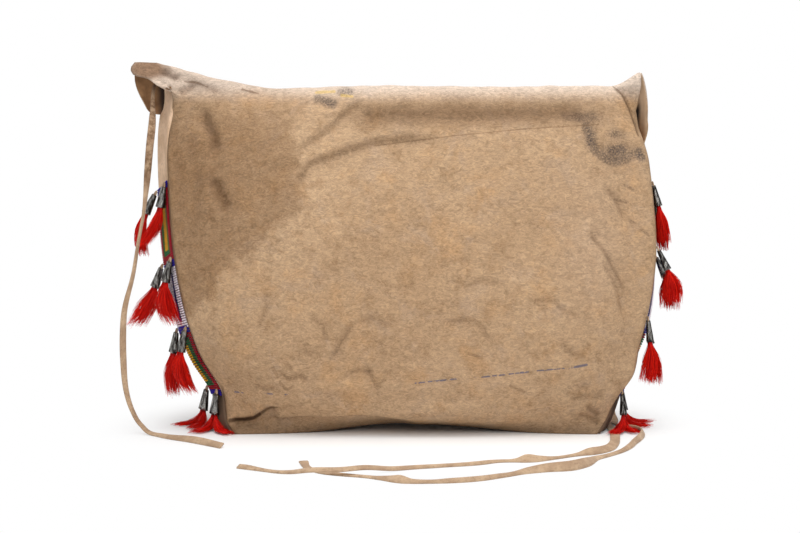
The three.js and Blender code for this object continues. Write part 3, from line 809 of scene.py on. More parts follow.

# %% [markdown]
# Beside the right ear the hide steps back along a sharp line, with painted shade along and behind the step,
# and the left foot is painted darker at its edge, a painted shade.

# %% Ear step and foot
EAR_STEP_LINE = [(232, 294), (228, 307), (222, 324), (215, 338), (205, 347)]
EAR_STEP, STEP_SHADE, BEHIND_STEP_SHADE, FOOT_EDGE_SHADE, LOWEST_HIDE = 6.0, 1.1, 0.25, 0.7, 0.2
EAR_ROWS, EDGE_COLUMNS, FOOT_FADE = (6, 14), 2.2, (40, 62)
past, share = line_distance(EAR_STEP_LINE, sheet[..., 0], sheet[..., 2])
ends = smooth(share, 0, 0.2) * (1 - smooth(share, 0.85, 1))
ends = ends * on_back * (1 - smooth(fold_row, *EAR_ROWS))[:, None]
sheet[..., 1] += EAR_STEP * smooth(past, -0.6, 1.6) * ends
# Painted shade along and behind the ear step, then at the edge of the left foot.
painted_shade += STEP_SHADE * np.exp(-(((past - 0.6) / 1.5) ** 2)) * ends + BEHIND_STEP_SHADE * smooth(past, -1, 2) * ends
left_edge = np.exp(-((np.arange(len(COLUMNS)) / EDGE_COLUMNS) ** 2))
painted_shade += FOOT_EDGE_SHADE * left_edge * (1 - smooth(sheet[..., 2], *FOOT_FADE)) * on_back
sheet[..., 2] = np.maximum(sheet[..., 2], LOWEST_HIDE)
print("wear up to", painted_shade.max().round(2))

# %% [markdown]
# ## Marks on the hide
#
# Two small node groups draw the marks. A blot is a soft ellipse with a ragged rim. A stroke is a line
# from one point to another. Both read the same flat place on the back, across and up.


# %% Node groups
def new_group(name, places, numbers):
    """A node group with inputs for places and numbers, and one mask out."""
    group = bpy.data.node_groups.new(name, "ShaderNodeTree")
    for label in places + numbers:
        kind = "NodeSocketVector" if label in places else "NodeSocketFloat"
        group.interface.new_socket(label, in_out="INPUT", socket_type=kind)
    group.interface.new_socket("Mask", in_out="OUTPUT", socket_type="NodeSocketFloat")
    return group, add(group, "NodeGroupInput").outputs, add(group, "NodeGroupOutput").inputs["Mask"]


BLOT, given, mask = new_group("Blot", ("Place", "Centre", "Reach"), ("Ragged", "Soft"))
offset = vector_node(BLOT, "SUBTRACT", given["Place"], given["Centre"])[0]
radius = vector_node(BLOT, "LENGTH", vector_node(BLOT, "DIVIDE", offset, given["Reach"])[0])[1]
rough = math_node(BLOT, "SUBTRACT", grain(BLOT, given["Place"], 26.0, 6.0, 0.62), 0.5)
radius = math_node(BLOT, "ADD", radius, times(BLOT, rough, given["Ragged"]))
BLOT.links.new(spread(BLOT, radius, 1.0, math_node(BLOT, "SUBTRACT", 1.0, given["Soft"])), mask)

STROKE, given, mask = new_group("Stroke", ("Place", "From", "To"), ("Width", "Wobble"))
line = vector_node(STROKE, "SUBTRACT", given["To"], given["From"])[0]
way = vector_node(STROKE, "SUBTRACT", given["Place"], given["From"])[0]
along, whole = [vector_node(STROKE, "DOT_PRODUCT", vector, line)[1] for vector in (way, line)]
along = add(STROKE, "ShaderNodeClamp", {"Value": math_node(STROKE, "DIVIDE", along, whole)}).outputs[0]
nearest = add(STROKE, "ShaderNodeVectorMath", {0: line, "Scale": along}, operation="SCALE").outputs[0]
distance = vector_node(STROKE, "LENGTH", vector_node(STROKE, "SUBTRACT", way, nearest)[0])[1]
rough = math_node(STROKE, "SUBTRACT", grain(STROKE, given["Place"], 110.0, 3.0), 0.5)
distance = math_node(STROKE, "ADD", distance, times(STROKE, rough, given["Wobble"]))
STROKE.links.new(spread(STROKE, distance, given["Width"], times(STROKE, given["Width"], 0.3)), mask)


# %% Blots and strokes
def blot(tree, flat, place, ragged, soft):
    x, z, wide, high = (value * MM for value in place)
    inputs = {"Place": flat, "Centre": (x, 0, z), "Reach": (wide, 1, high), "Ragged": ragged, "Soft": soft}
    return add(tree, "ShaderNodeGroup", inputs, node_tree=BLOT).outputs[0]


def strokes(tree, flat, chains, width, wobble):
    """The strongest of several strokes. Each chain lists the points it runs through, across and up."""
    total = None
    for chain in chains:
        for k in range(0, len(chain) - 2, 2):
            x0, z0, x1, z1 = (value * MM for value in chain[k:k + 4])
            inputs = {"Place": flat, "From": (x0, 0, z0), "To": (x1, 0, z1)}
            inputs.update({"Width": width * MM, "Wobble": wobble * MM})
            mask = add(tree, "ShaderNodeGroup", inputs, node_tree=STROKE).outputs[0]
            total = mask if total is None else math_node(tree, "MAXIMUM", total, mask)
    return total


print("groups", BLOT.name, STROKE.name)

# %% [markdown]
# The hide is napped: matt, mottled and a little darker in places. Grains of four sizes mottle it, and the
# top of the fold is painted pale, a painted highlight where the light from above falls. The marks are only on
# the back.

# %% Hide ground
TOP_HIGHLIGHT_HEIGHTS, BACK_ENDS = (0.326, 0.350), (0.0, 0.012)
hide, tree, shader, place = new_material("hide", {"Roughness": 0.95, "Specular IOR Level": 0.15})
flat = vector_node(tree, "MULTIPLY", place, (1, 0, 1))[0]
axes = axes_of(tree, place)
only_back = spread(tree, axes["Y"], *BACK_ENDS, 1.0, 0.0)
colour = srgb(179, 147, 114)
colour = mottle(tree, place, colour, srgb(192, 161, 128), 7.0, 0.3, 0.7, detail=5.0, roughness=0.6)
colour = mottle(tree, place, colour, srgb(150, 118, 86), 55.0, 0.45, 0.75, 0.7, detail=6.0, roughness=0.7)
colour = mottle(tree, place, colour, srgb(190, 148, 104), 26.0, 0.48, 0.72, 0.5, detail=5.0, roughness=0.65)
colour = mottle(tree, place, colour, srgb(182, 156, 132), 34.0, 0.50, 0.74, 0.55,
                detail=5.0, roughness=0.65, warp=0.6)
# Painted highlight: the top of the fold is painted pale, as the lamp above lights it.
colour = mix(tree, spread(tree, axes["Z"], *TOP_HIGHLIGHT_HEIGHTS, 0.0, 0.7), colour, srgb(218, 204, 192))
print("ground", len(tree.nodes), "nodes")

# %% [markdown]
# The large brown stain at the upper left ends at a slanting rim below and an upright rim on the right.
# One slow grain makes both ragged. The stain thins out towards the fold.

# %% Stain
RIM_SLANT, RAGGED = (0.686, 0, -0.728), 0.06
ragged = times(tree, math_node(tree, "SUBTRACT", grain(tree, flat, 24.0, 7.0, 0.65), 0.5), RAGGED)
slant = vector_node(tree, "DOT_PRODUCT", flat, RIM_SLANT)[1]
lower_rim = spread(tree, math_node(tree, "ADD", slant, ragged), -0.232, -0.244)
right_rim = spread(tree, math_node(tree, "ADD", axes["X"], ragged), -0.100, -0.122)
thinned = spread(tree, math_node(tree, "ADD", axes["Z"], ragged), 0.286, 0.334, 1.0, 0.35)
soaked = spread(tree, grain(tree, place, 120.0, 5.0, 0.7), 0.40, 0.66, 0.46, 0.64)
stain = times(tree, lower_rim, right_rim, thinned, soaked, only_back)
colour = mix(tree, stain, colour, srgb(122, 90, 60))
print("stain", len(tree.nodes), "nodes")

# %% [markdown]
# The smaller marks are rows of a table, laid over each other in its order. A row gives the kind of mark
# and its places on the back in millimetres: a blot's centre and reach, or the points of a stroke. Then
# come two numbers for its rim, its strength and its colour. Charcoal marks are also broken up by specks.

# %% Mark table
EAR_STEP_SHADOW = (231, 297, 228, 307, 222, 324, 215, 338, 207, 346)
NICKS = [(-118, 74, -115, 69), (-133, 70, -128, 60), (-126, 55, -119, 48, -113, 52), (-30, 96, -22, 92),
         (60, 84, 72, 80), (101, 52, 114, 46)]
COAL_LINES = [(157, 317, 170, 315), (177, 306, 181, 292, 186, 281, 198, 273, 212, 271, 223, 276),
              (230, 281, 234, 274), (196, 273, 208, 272), (217, 273, 226, 279), (203, 281, 214, 284),
              (-90, 334, -74, 328), (-66, 341, -58, 341)]
COAL_DUST = [(180, 315, 20, 10), (207, 298, 17, 9), (206, 282, 27, 15), (182, 294, 12, 18), (232, 278, 7, 9),
             (-80, 331, 14, 7)]
DASHES = [(216, 248, 224, 244), (205, 234, 218, 231), (220, 213, 226, 210), (232, 204, 240, 198)]
MARKS = [
    ("blot", [(-218, 255, 60, 120)], 0.9, 0.9, 0.18, (112, 80, 54)),
    # The next two blots are painted shade: the shaded face of the left ear and the dimple in it.
    ("blot", [(-262, 364, 26, 16)], 0.6, 0.6, 0.9, (128, 98, 74)),
    ("blot", [(-243, 362, 9, 8)], 0.8, 0.8, 0.45, (100, 76, 58)),
    ("stroke", [(-224, 351, -212, 350, -202, 346), (-166, 343, -150, 339)], 1.6, 4.0, 0.6, (104, 76, 54)),
    # A painted shadow along the step beside the right ear.
    ("stroke", [EAR_STEP_SHADOW], 1.5, 1.6, 0.5, (92, 68, 50)),
    ("stroke", NICKS, 2.2, 4.0, 0.35, (112, 86, 64)),
    ("blot", [(185, 190, 62, 110)], 0.6, 0.95, 0.35, (198, 170, 144)),
    # Painted shade in the band under the top fold.
    ("blot", [(60, 318, 170, 18)], 0.3, 0.95, 0.4, (146, 114, 83)),
    ("stroke", COAL_LINES, 6.5, 7.0, 0.62, (66, 60, 60), "specked"),
    ("blot", COAL_DUST, 1.1, 0.95, 0.75, (82, 73, 70), "specked"),
    ("stroke", [(-92, 340, -74, 341), (-66, 337, -56, 336)], 2.2, 2.0, 0.55, (214, 180, 92)),
    ("stroke", [(-33, 287, 46, 297, 120, 304, 190, 308)], 0.9, 0.8, 0.45, (120, 90, 66)),
    ("stroke", DASHES, 2.4, 3.0, 0.55, (104, 84, 70), "specked"),
]
TUCK_SHADOWS = [
    ("stroke", [(-178, 13, -166, 12.5, -155, 14, -149, 18)], 2.8, 2.5, 0.8, (46, 31, 22)),
    ("stroke", [(-149, 18, -144, 22, -138, 26.5, -130, 29)], 1.8, 2.0, 0.5, (62, 44, 32)),
]
PEN_LINES = [(7, 55, 52, 60), (62, 60, 118, 66), (126, 67, 164, 70), (-173, 42, -164, 42),
             (-141, 43, -134, 43), (-121, 43, -119, 43)]
PEN_END = (164, 70, 176, 72)
print("marks", len(MARKS) + len(TUCK_SHADOWS))


# %% Lay the marks
def lay_marks(colour, marks):
    for kind, places, rim, blur, strength, tone, *specked in marks:
        if kind == "blot":
            masks = [blot(tree, flat, place, rim, blur) for place in places]
        else:
            masks = [strokes(tree, flat, places, rim, blur)]
        for mask in masks:
            mask = times(tree, mask, specks) if specked else mask
            colour = mix(tree, times(tree, mask, only_back, strength), colour, srgb(*tone))
    return colour


specks = spread(tree, grain(tree, flat, 560.0, 3.0, 0.6), 0.34, 0.64, 0.28, 1.0)
colour = lay_marks(colour, MARKS)
skips = spread(tree, grain(tree, flat, 190.0, 2.0), 0.40, 0.52)
pen = times(tree, strokes(tree, flat, PEN_LINES, 1.1, 1.2), skips)
pen = math_node(tree, "MAXIMUM", pen, strokes(tree, flat, [PEN_END], 1.8, 1.0))
colour = mix(tree, times(tree, pen, only_back, 0.8), colour, srgb(84, 90, 116))
# Painted shade read from the mesh: darker in creases, along the ear step and at the left foot.
painted_shade_level = add(tree, "ShaderNodeAttribute", attribute_name="painted_shade_level").outputs["Fac"]
colour = mix(tree, times(tree, painted_shade_level, 0.55), colour, srgb(88, 62, 42))
colour = lay_marks(colour, TUCK_SHADOWS)
print("marked hide", len(tree.nodes), "nodes")

# %% [markdown]
# The foot of the bag is painted darker, a painted shade that deepens next to the floor. Last comes the
# nap, fine fibres that lie across and change both the tone and the bump.

# %% Foot and nap
FIBRE_STRETCH, FIBRE_SHADES = (0.5, 1, 1), (0.67, 1.31)
# Painted shade: darker towards the bottom, and darkest just above the floor.
colour = mix(tree, spread(tree, axes["Z"], 0.0, 0.16, 0.16, 0.0), colour, srgb(110, 82, 58))
colour = mix(tree, spread(tree, axes["Z"], 0.001, 0.016, 0.45, 0.0), colour, srgb(66, 48, 36))
fibres = grain(tree, vector_node(tree, "MULTIPLY", place, FIBRE_STRETCH)[0], 320.0, 5.0, 0.8, 1.5)
shades = grey(tree, spread(tree, fibres, 0.28, 0.72, *FIBRE_SHADES))
paint(tree, shader, mix(tree, 1.0, colour, shades, "MULTIPLY"))
nap = math_node(tree, "ADD", fibres, grain(tree, place, 60.0, 5.0, 0.6))
set_bump(tree, shader, nap, 0.5, 0.0016)
print("hide material", len(tree.nodes), "nodes")

# %% [markdown]
# The inside of the sheet is its flesh side. It is painted dark as painted shade in the pocket under the
# left ear and in the slit under the right one, and pale along the right edge of the flap.

# %% Flesh side
flesh, tree, shader, place = new_material("flesh_side", {"Roughness": 1.0})
axes = axes_of(tree, place)
pocket_shade = times(tree, spread(tree, axes["X"], -0.260, -0.250), spread(tree, axes["X"], -0.2435, -0.2465))
right_edge = times(tree, spread(tree, axes["X"], 0.2325, 0.2365), spread(tree, axes["Y"], 0.018, 0.010))
slit_shade = times(tree, spread(tree, axes["X"], 0.2385, 0.2345), spread(tree, axes["Z"], 0.336, 0.322),
             spread(tree, axes["X"], 0.226, 0.228))
tone = mottle(tree, place, srgb(122, 88, 58), srgb(168, 128, 90), 50.0, 0.35, 0.7, detail=6.0)
# The pocket and the slit are painted shade; the pale right edge is the flesh side's own colour.
for mask, shade in ((pocket_shade, (44, 30, 21)), (right_edge, (184, 154, 124)), (slit_shade, (34, 24, 18))):
    tone = mix(tree, mask, tone, srgb(*shade))
paint(tree, shader, tone)
set_bump(tree, shader, grain(tree, place, 400.0, 6.0), 0.6, 0.001)
print("flesh side", len(tree.nodes), "nodes")

# %% Hide piece
HIDE_WALL = 2
hide_piece = link_mesh("hide", grid_mesh("hide", sheet, label="painted_shade_level", values=np.clip(painted_shade, 0, 1)), hide)
hide_piece.data.materials.append(flesh)
wall = thicken(hide_piece, HIDE_WALL)
wall.material_offset = 1
wall.material_offset_rim = 0
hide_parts("bag_hide")
print("hide", len(hide_piece.data.polygons), "faces")

# %% [markdown]
# ## Gussets
#
# A gusset is a strip of hide sewn between the back and the front. Each of its rows runs from the back
# seam to the front seam, lifted a hide's thickness out. The stuffing rounds it out lower down, and at
# the top it narrows under the flap. The right one is closed in by its ear.


# %% Side of the bag
def side_frame(side, height):
    """Back seam, front seam, outward normal and way up of one side, at an array of heights."""
    end = -1.0 if side == "left" else 1.0
    height = np.asarray(height, float)
    above, below = height + 1, height - 1
    rear, fore = back_point(end, height), front_point(end, height)
    rise = (back_point(end, above) + front_point(end, above)
            - back_point(end, below) - front_point(end, below))
    outward = np.cross(fore - rear, rise)
    outward /= np.linalg.norm(outward, axis=-1)[..., None]
    outward *= (np.sign(outward[..., 0]) * end)[..., None]
    return rear, fore, outward, rise / np.linalg.norm(rise, axis=-1)[..., None]


def side_point(side, across, height, lift):
    rear, fore, outward, _ = side_frame(side, height)
    across = np.asarray(across, float)[..., None]
    return rear + (fore - rear) * across + outward * np.asarray(lift, float)[..., None]


GUSSET_LIFT, GUSSET_BULGE, GUSSET_HOLLOW = 2.3, 4.5, 1.2
ROUND_HEIGHTS, HOLLOW_HEIGHTS = (110, 185), (175, 215)


def bulge(across, height):
    """The side is rounded out below and a little hollow above: most in the middle, nothing at its seams."""
    rounded = GUSSET_BULGE * (1 - smooth(height, *ROUND_HEIGHTS))
    full = rounded - GUSSET_HOLLOW * smooth(height, *HOLLOW_HEIGHTS)
    return full * np.sin(np.clip(across, 0, 1) * math.pi) ** 4


# %% Gusset material
FOOT_SHADE_HEIGHTS = (0.046, 0.034)
gusset_hide, tree, shader, place = new_material("gusset_hide", {"Roughness": 0.95})
tone = mottle(tree, place, srgb(214, 178, 144), srgb(242, 208, 176), 40.0, 0.35, 0.7, detail=6.0)
tone = mottle(tree, place, tone, srgb(140, 108, 86), 300.0, 0.5, 0.8, 0.4)
# Painted shade at the foot of the gusset, darker below 34 mm.
gusset_foot_shade = spread(tree, axes_of(tree, place)["Z"], *FOOT_SHADE_HEIGHTS)
paint(tree, shader, mix(tree, times(tree, gusset_foot_shade, 0.95), tone, srgb(86, 64, 47)))
set_bump(tree, shader, grain(tree, place, 500.0, 5.0), 0.4, 0.0008)
print("gusset hide", len(tree.nodes), "nodes")

# %% Gusset sheets
GUSSET_TOPS, GUSSET_ROWS, TOP_ROWS = {"left": 350, "right": 326}, 84, 6
BACK_SEAM_LIFT, FRONT_SEAM_LIFT, LOWEST_GUSSET = -0.6, -0.4, 0.3
CLOSING_HEIGHTS, CLOSED_SHARE, CLOSED_IN = (282, 312), 0.65, 9
TOP_NARROWS, TOP_FULL, TOP_LEAN = 0.55, 26, 0.2
GUSSET_SHARES = np.concatenate([[0], np.linspace(0.02, 0.98, 11), [1]])
SEAM_TUCK = np.eye(len(GUSSET_SHARES))[0] * -0.06

for side, top in GUSSET_TOPS.items():
    heights = np.linspace(1, SHOULDER, GUSSET_ROWS)
    rows = []
    for h in heights:
        lifts = GUSSET_LIFT + bulge(GUSSET_SHARES[1:-1], h)
        lifts = np.concatenate([[BACK_SEAM_LIFT], lifts, [FRONT_SEAM_LIFT]])
        shares = GUSSET_SHARES + SEAM_TUCK * smooth(h, 40, 70)
        rows.append(side_point(side, shares, np.full(len(shares), h), lifts))
    if side == "right":
        closing = smooth(heights, *CLOSING_HEIGHTS)
        rows = [row * [1, 1 - CLOSED_SHARE * c, 1] - [CLOSED_IN * c, 0, 0] for row, c in zip(rows, closing)]
    shoulder_row = rows[-1]
    for step in np.linspace(0, top - SHOULDER, TOP_ROWS + 1)[1:]:
        narrow = 1 - TOP_NARROWS * (step / TOP_FULL)
        rows.append(shoulder_row * [1, narrow, 1] + [TOP_LEAN * step, 0, step])
    rows = np.stack(rows)
    rows[..., 2] = np.maximum(rows[..., 2], LOWEST_GUSSET)
    if side == "left":
        rows = rows[:, ::-1]
    gusset = link_mesh(side + "_gusset_hide", grid_mesh(side + "_gusset_hide", rows), gusset_hide)
    thicken(gusset, HIDE_WALL)
    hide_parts(side + "_gusset")
    print(gusset.name, len(gusset.data.polygons), "faces")

# %% [markdown]
# ## Bead strips
#
# The beadwork down each gusset is sewn in rows across the strip. Each bead is a small flattened ball
# of glass, and one rule picks its colour from its place: blue bands part three blocks, the outer two
# with a gold bar in green and red, the middle one white with two navy bars and some gold at its front edge.

# %% Glass material
glass, tree, shader, place = new_material("bead_glass", {"Roughness": 0.3, "Specular IOR Level": 0.2})
bead_tone = add(tree, "ShaderNodeAttribute", attribute_name="bead").outputs["Color"]
paint(tree, shader, mottle(tree, place, bead_tone, srgb(40, 30, 40), 900.0, 0.3, 0.7, 0.15, detail=2.0))

BLUE, RED, GREEN, GOLD = srgb(42, 24, 158), srgb(176, 12, 34), srgb(34, 118, 62), srgb(246, 186, 34)
WHITE, NAVY, THREAD = srgb(240, 230, 238), srgb(40, 32, 96), srgb(92, 50, 54)
BLUE_BANDS = ((246, 254), (169, 176), (101, 108), (35, 42))
LOW_BLOCK, WHITE_BLOCK, HIGH_BLOCK = (42, 101), (108, 169), (176, 246)
NAVY_ACROSS, NAVY_HEIGHTS, GOLD_EDGE, GOLD_MIDDLE, GOLD_REACH = (0.28, 0.52), (114, 163), 0.88, 138, 24
RED_ENDS, RED_SIDES, GREEN_ENDS, GREEN_SIDES = 0.84, 0.60, 0.66, 0.26


def strip_colour(height, across):
    """Colour of a bead at a height in millimetres, and across the strip from -1 to 1."""
    if any(low <= height <= high for low, high in BLUE_BANDS):
        return BLUE
    out = abs(across)
    if WHITE_BLOCK[0] < height < WHITE_BLOCK[1]:
        if across > GOLD_EDGE and abs(height - GOLD_MIDDLE) < GOLD_REACH:
            return GOLD
        in_bar = NAVY_ACROSS[0] < out < NAVY_ACROSS[1] and NAVY_HEIGHTS[0] < height < NAVY_HEIGHTS[1]
        return NAVY if in_bar else WHITE
    low, high = HIGH_BLOCK if height > WHITE_BLOCK[1] + 1 else LOW_BLOCK
    share = abs((height - low) / (high - low) * 2 - 1)
    if share > RED_ENDS or out > RED_SIDES:
        return RED
    if share > GREEN_ENDS or out > GREEN_SIDES:
        return GREEN
    return GOLD


print("glass", len(tree.nodes), "nodes")

# %% [markdown]
# Each bead has its own size, a small slip up or down and a shade of its colour. Behind the beads lies a
# strip in the colour of the sewing thread, which shows between them.

# %% Single beads
STRIP_WIDTHS, STRIP_SEAT, BEAD_ROWS, BEADS_ACROSS = {"left": 37.5, "right": 34.5}, 2.8, 92, 20
BEAD_RADII, BEAD_SIZES, BEAD_SHADES = (0.92, 1.04, 0.95), (0.92, 1.04), (0.8, 1.1)
BEAD_LIFT, BEAD_SLIP = 0.85, 0.12
SEAT_ROWS, SEAT_COLUMNS, SEAT_LIFT, SEAT_REACH = 60, 9, 3.2, 0.46


def ball(segments, rings):
    shape = bmesh.new()
    bmesh.ops.create_uvsphere(shape, u_segments=segments, v_segments=rings, radius=1)
    shape.verts.index_update()
    points = np.array([v.co[:] for v in shape.verts])
    faces = [[v.index for v in f.verts] for f in shape.faces]
    shape.free()
    return points, faces


ball_points, ball_faces = ball(8, 5)


def bead(side, height, across):
    """Points and colours of one bead."""
    rear, fore, outward, rise = side_frame(side, height)
    width = np.linalg.norm(fore - rear)
    way = (fore - rear) / width
    slip = rng.uniform(-BEAD_SLIP, BEAD_SLIP)
    from_middle = across * STRIP_WIDTHS[side] / 2
    out = STRIP_SEAT + BEAD_LIFT + bulge(0.5 + from_middle / width, height)
    centre = (rear + fore) / 2 + way * from_middle + outward * out + rise * slip
    size = rng.uniform(*BEAD_SIZES)
    local = ball_points * [radius * size for radius in BEAD_RADII]
    shade = rng.uniform(*BEAD_SHADES)
    tone = [min(1.0, channel * shade) for channel in strip_colour(height + slip, across)[:3]]
    points = centre + local[:, :1] * way + local[:, 1:2] * rise + local[:, 2:] * outward
    return points, np.tile([*tone, 1.0], (len(ball_points), 1))


def bead_seat(side, start):
    """Points and faces of the strip behind the beads. Its points are numbered from a start."""
    shares = 0.5 + np.linspace(-SEAT_REACH, SEAT_REACH, SEAT_COLUMNS)
    seat = np.stack([side_point(side, shares, np.full(SEAT_COLUMNS, h), SEAT_LIFT + bulge(shares, h))
                     for h in np.linspace(STRIP_BOTTOM, STRIP_TOP, SEAT_ROWS)])
    corners = (0, 1, SEAT_COLUMNS + 1, SEAT_COLUMNS)[::1 if side == "right" else -1]
    faces = [[start + r * SEAT_COLUMNS + c + corner for corner in corners]
             for r in range(SEAT_ROWS - 1) for c in range(SEAT_COLUMNS - 1)]
    return seat.reshape(-1, 3), faces


print("points of a bead", len(ball_points))

# %% Bead strips
for side in STRIP_WIDTHS:
    pitch = (STRIP_TOP - STRIP_BOTTOM) / BEAD_ROWS
    places = [(STRIP_BOTTOM + (row + 0.5) * pitch, (column + 0.5) / BEADS_ACROSS * 2 - 1)
              for row in range(BEAD_ROWS) for column in range(BEADS_ACROSS)]
    points, tones = map(list, zip(*[bead(side, height, across) for height, across in places]))
    faces = [[i + k * len(ball_points) for i in face] for k in range(len(places)) for face in ball_faces]
    seat, seat_faces = bead_seat(side, len(points) * len(ball_points))
    mesh = bpy.data.meshes.new(side + "_beads")
    mesh.from_pydata((np.concatenate(points + [seat]) * MM).tolist(), [], faces + seat_faces)
    layer = mesh.color_attributes.new("bead", "FLOAT_COLOR", "POINT")
    layer.data.foreach_set("color", np.concatenate(tones + [np.tile(THREAD, (len(seat), 1))]).ravel())
    beads = link_mesh(side + "_beads", mesh, glass)
    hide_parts(side + "_bead_strip")
    print(beads.name, len(places), "beads")

# %% [markdown]
# ## Beaded front
#
# The front faces away, so its beadwork is a plain guess: level lanes of white beads, each lane a low
# hump, with diamonds in the strip's colours and a blue lane at the top and bottom. The single beads
# are bumps in the material.

# %% Panel material
PANEL_BOTTOM, PANEL_TOP, PANEL_LANES, BEAD_WIDTH, BEAD_HEIGHT = 46, 222, 14, 2.0, 1.57
panel_glass, tree, shader, place = new_material("panel_glass", {"Roughness": 0.28})
axes = axes_of(tree, place)
panel_tone = add(tree, "ShaderNodeAttribute", attribute_name="bead").outputs["Color"]
paint(tree, shader, mottle(tree, place, panel_tone, srgb(90, 80, 92), 600.0, 0.35, 0.7, 0.25, detail=2.0))
waves = [math_node(tree, "ABSOLUTE", math_node(tree, "SINE", times(tree, axes[axis], math.pi / (size * MM))))
         for axis, size in (("X", BEAD_WIDTH), ("Z", BEAD_HEIGHT))]
set_bump(tree, shader, times(tree, *waves), 0.9, 0.0012)
print("panel glass", len(tree.nodes), "nodes")

# %% Front panel
PANEL_REACH, PANEL_COLUMNS, LANE_STEPS, PANEL_WALL = 0.78, 161, 8, 1.2
PANEL_SEAT, LANE_VALLEY, LANE_HUMP, HUMP_POWER = 0.5, 1.1, 0.9, 0.6
MIDDLE_LANE = (PANEL_LANES - 1) / 2
DIAMOND_RATE, DIAMOND_SHIFT, BELOW_TOP = 3.0, 9, 0.999
# Each colour of a diamond: its half width in the middle lane, and how much narrower it is in the end lanes
DIAMOND = [(GOLD, 0.34, 0.30), (RED, 0.62, 0.42), (GREEN, 0.74, 0.42)]


def panel_colour(height, across):
    lane = int((height - PANEL_BOTTOM) / (PANEL_TOP - PANEL_BOTTOM) * PANEL_LANES * BELOW_TOP)
    if lane in (0, PANEL_LANES - 1):
        return BLUE
    from_diamond = abs((across * DIAMOND_RATE + DIAMOND_SHIFT) % 2 - 1)
    step = abs(lane - MIDDLE_LANE) / MIDDLE_LANE
    return next((tone for tone, wide, taper in DIAMOND if from_diamond < wide - taper * step), WHITE)


panel_columns = np.linspace(-PANEL_REACH, PANEL_REACH, PANEL_COLUMNS)
lane_steps = PANEL_LANES * LANE_STEPS
panel_rows, panel_tones = [], []
for i in range(lane_steps + 1):
    height = PANEL_BOTTOM + (PANEL_TOP - PANEL_BOTTOM) * i / lane_steps
    row = front_point(panel_columns, height)
    row[:, 1] += PANEL_SEAT + LANE_VALLEY + LANE_HUMP * abs(math.sin(i / LANE_STEPS * math.pi)) ** HUMP_POWER
    panel_rows.append(row)
    panel_tones.append([panel_colour(height, across) for across in panel_columns])
panel_rows, panel_tones = np.stack(panel_rows)[:, ::-1], np.array(panel_tones)[:, ::-1]
panel_mesh = grid_mesh("front_beads", panel_rows, label="bead", values=panel_tones)
panel = link_mesh("front_beads", panel_mesh, panel_glass)
thicken(panel, PANEL_WALL)
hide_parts("front_bead_panel")
print("front panel", len(panel.data.polygons), "faces")

# %% [markdown]
# ## Danglers
#
# Sixteen danglers hang from the edges of the bead strips. Each is a thong doubled through the seam,
# with a tin cone rolled round each leg and a tuft of dyed hair in the mouth of the cone. They are
# placed by the joints of the CAD part, which sit at the loops, and the cones lean as its table says. The
# hair follows the photograph: next to the CAD part some of it bends another way or is shorter, and the
# lowest tufts turn and lie on the floor.

# %% Dangler table
# Each dangler from the top down: the lean of its cones and the bend of its hair, in degrees
LEANS = {
    "left_back": [(10, 30), (13, -44), (12, -48), (6, 126)],
    "left_front": [(26, -40), (19, 16), (9, -16), (10, 126)],
    "right_back": [(15, -8), (26, -34), (6, -20), (3, 126)],
    "right_front": [(16, -10), (24, -28), (12, -10), (8, 126)],
}
LOWEST = 4
LOOP_HEIGHT, CONE_LENGTH, CONE_MOUTH, TIP_BORE = 4.0, 21.0, 3.0, 1.2
TIN_THICKNESS, CONE_TURN, LAP_GROWTH, ROLL_STEPS, CONE_RINGS = 0.4, 392, 0.5, 40, 7
TIP_SPREAD, MOUTH_SPREAD = 2.344, 4.144
CONE_FAN = math.asin((MOUTH_SPREAD - TIP_SPREAD) / CONE_LENGTH)
TUFT_LENGTH, FLOOR_TUFT_LENGTH, TUFT_ROOT, TUFT_STEPS = 42.0, 27.0, 7.0, 6
HAIR_SHARES = {"left": (1, 1, 1, 1), "right": (0.85, 0.78, 0.95, 1)}
HAIR_SPREAD, HAIR_ROOT, STRANDS, STRAND_STEPS = (6.2, 10.5, 8.0, 7.0), 1.3, 170, 8
STRAND_RADII, CORE_STEPS, LOWEST_HAIR = (0.34, 0.12), 12, 0.6
STRAND_REACHES, STRAND_TILT, FAN_SHARES = (0.72, 1.06), (-0.2, 0.2), (0.15, 0.75)
CURL_RATES, CURL_STARTS, CURL_SIZE = (3, 7), (0, 6), 0.5
CORE_SHARES, CORE_RADII, CORE_SHADE_TONE = [0, 0.2, 0.5, 0.85, 1], [1.2, 2.1, 2.8, 2.0, 0.3], 0.12
FLOOR_WAYS = {
    "left_back": (-125, -55), "left_front": (-150, -115), "right_back": (-120, -70), "right_front": (-40, 0),
}
FLOOR_RUN, FLOOR_LINE = 13.0, 2.5
THONG_STEPS, THONG_RADIUS, LEG_STATIONS = 40, 0.95, (-0.8, 6, 12)
RING_GUIDE = (0.83, 0.52, 0.19)
print("danglers on", list(LEANS))

# %% [markdown]
# Tin is sheet steel with a thin bright coat. It has dulled and spotted, so the grey is uneven and the
# shine is broken. The hair is dyed red, each strand its own red at random, and the paler strands are painted
# highlights.

# %% Tin and hair materials
tin, tree, shader, place = new_material("tin", {"Metallic": 1.0})
streaks = vector_node(tree, "MULTIPLY", place, (1.0, 1.0, 0.18))[0]
spots = spread(tree, grain(tree, streaks, 420.0, 5.0, 0.6), 0.40, 0.60)
paint(tree, shader, mix(tree, spots, srgb(186, 183, 178), srgb(58, 53, 50)))
tree.links.new(spread(tree, spots, 0.0, 1.0, 0.22, 0.42), shader.inputs["Roughness"])
set_bump(tree, shader, spots, 0.12, 0.0003)

hair, tree, shader, place = new_material("hair", {"Roughness": 0.55, "Specular IOR Level": 0.12})
strand = add(tree, "ShaderNodeAttribute", attribute_name="strand").outputs["Fac"]
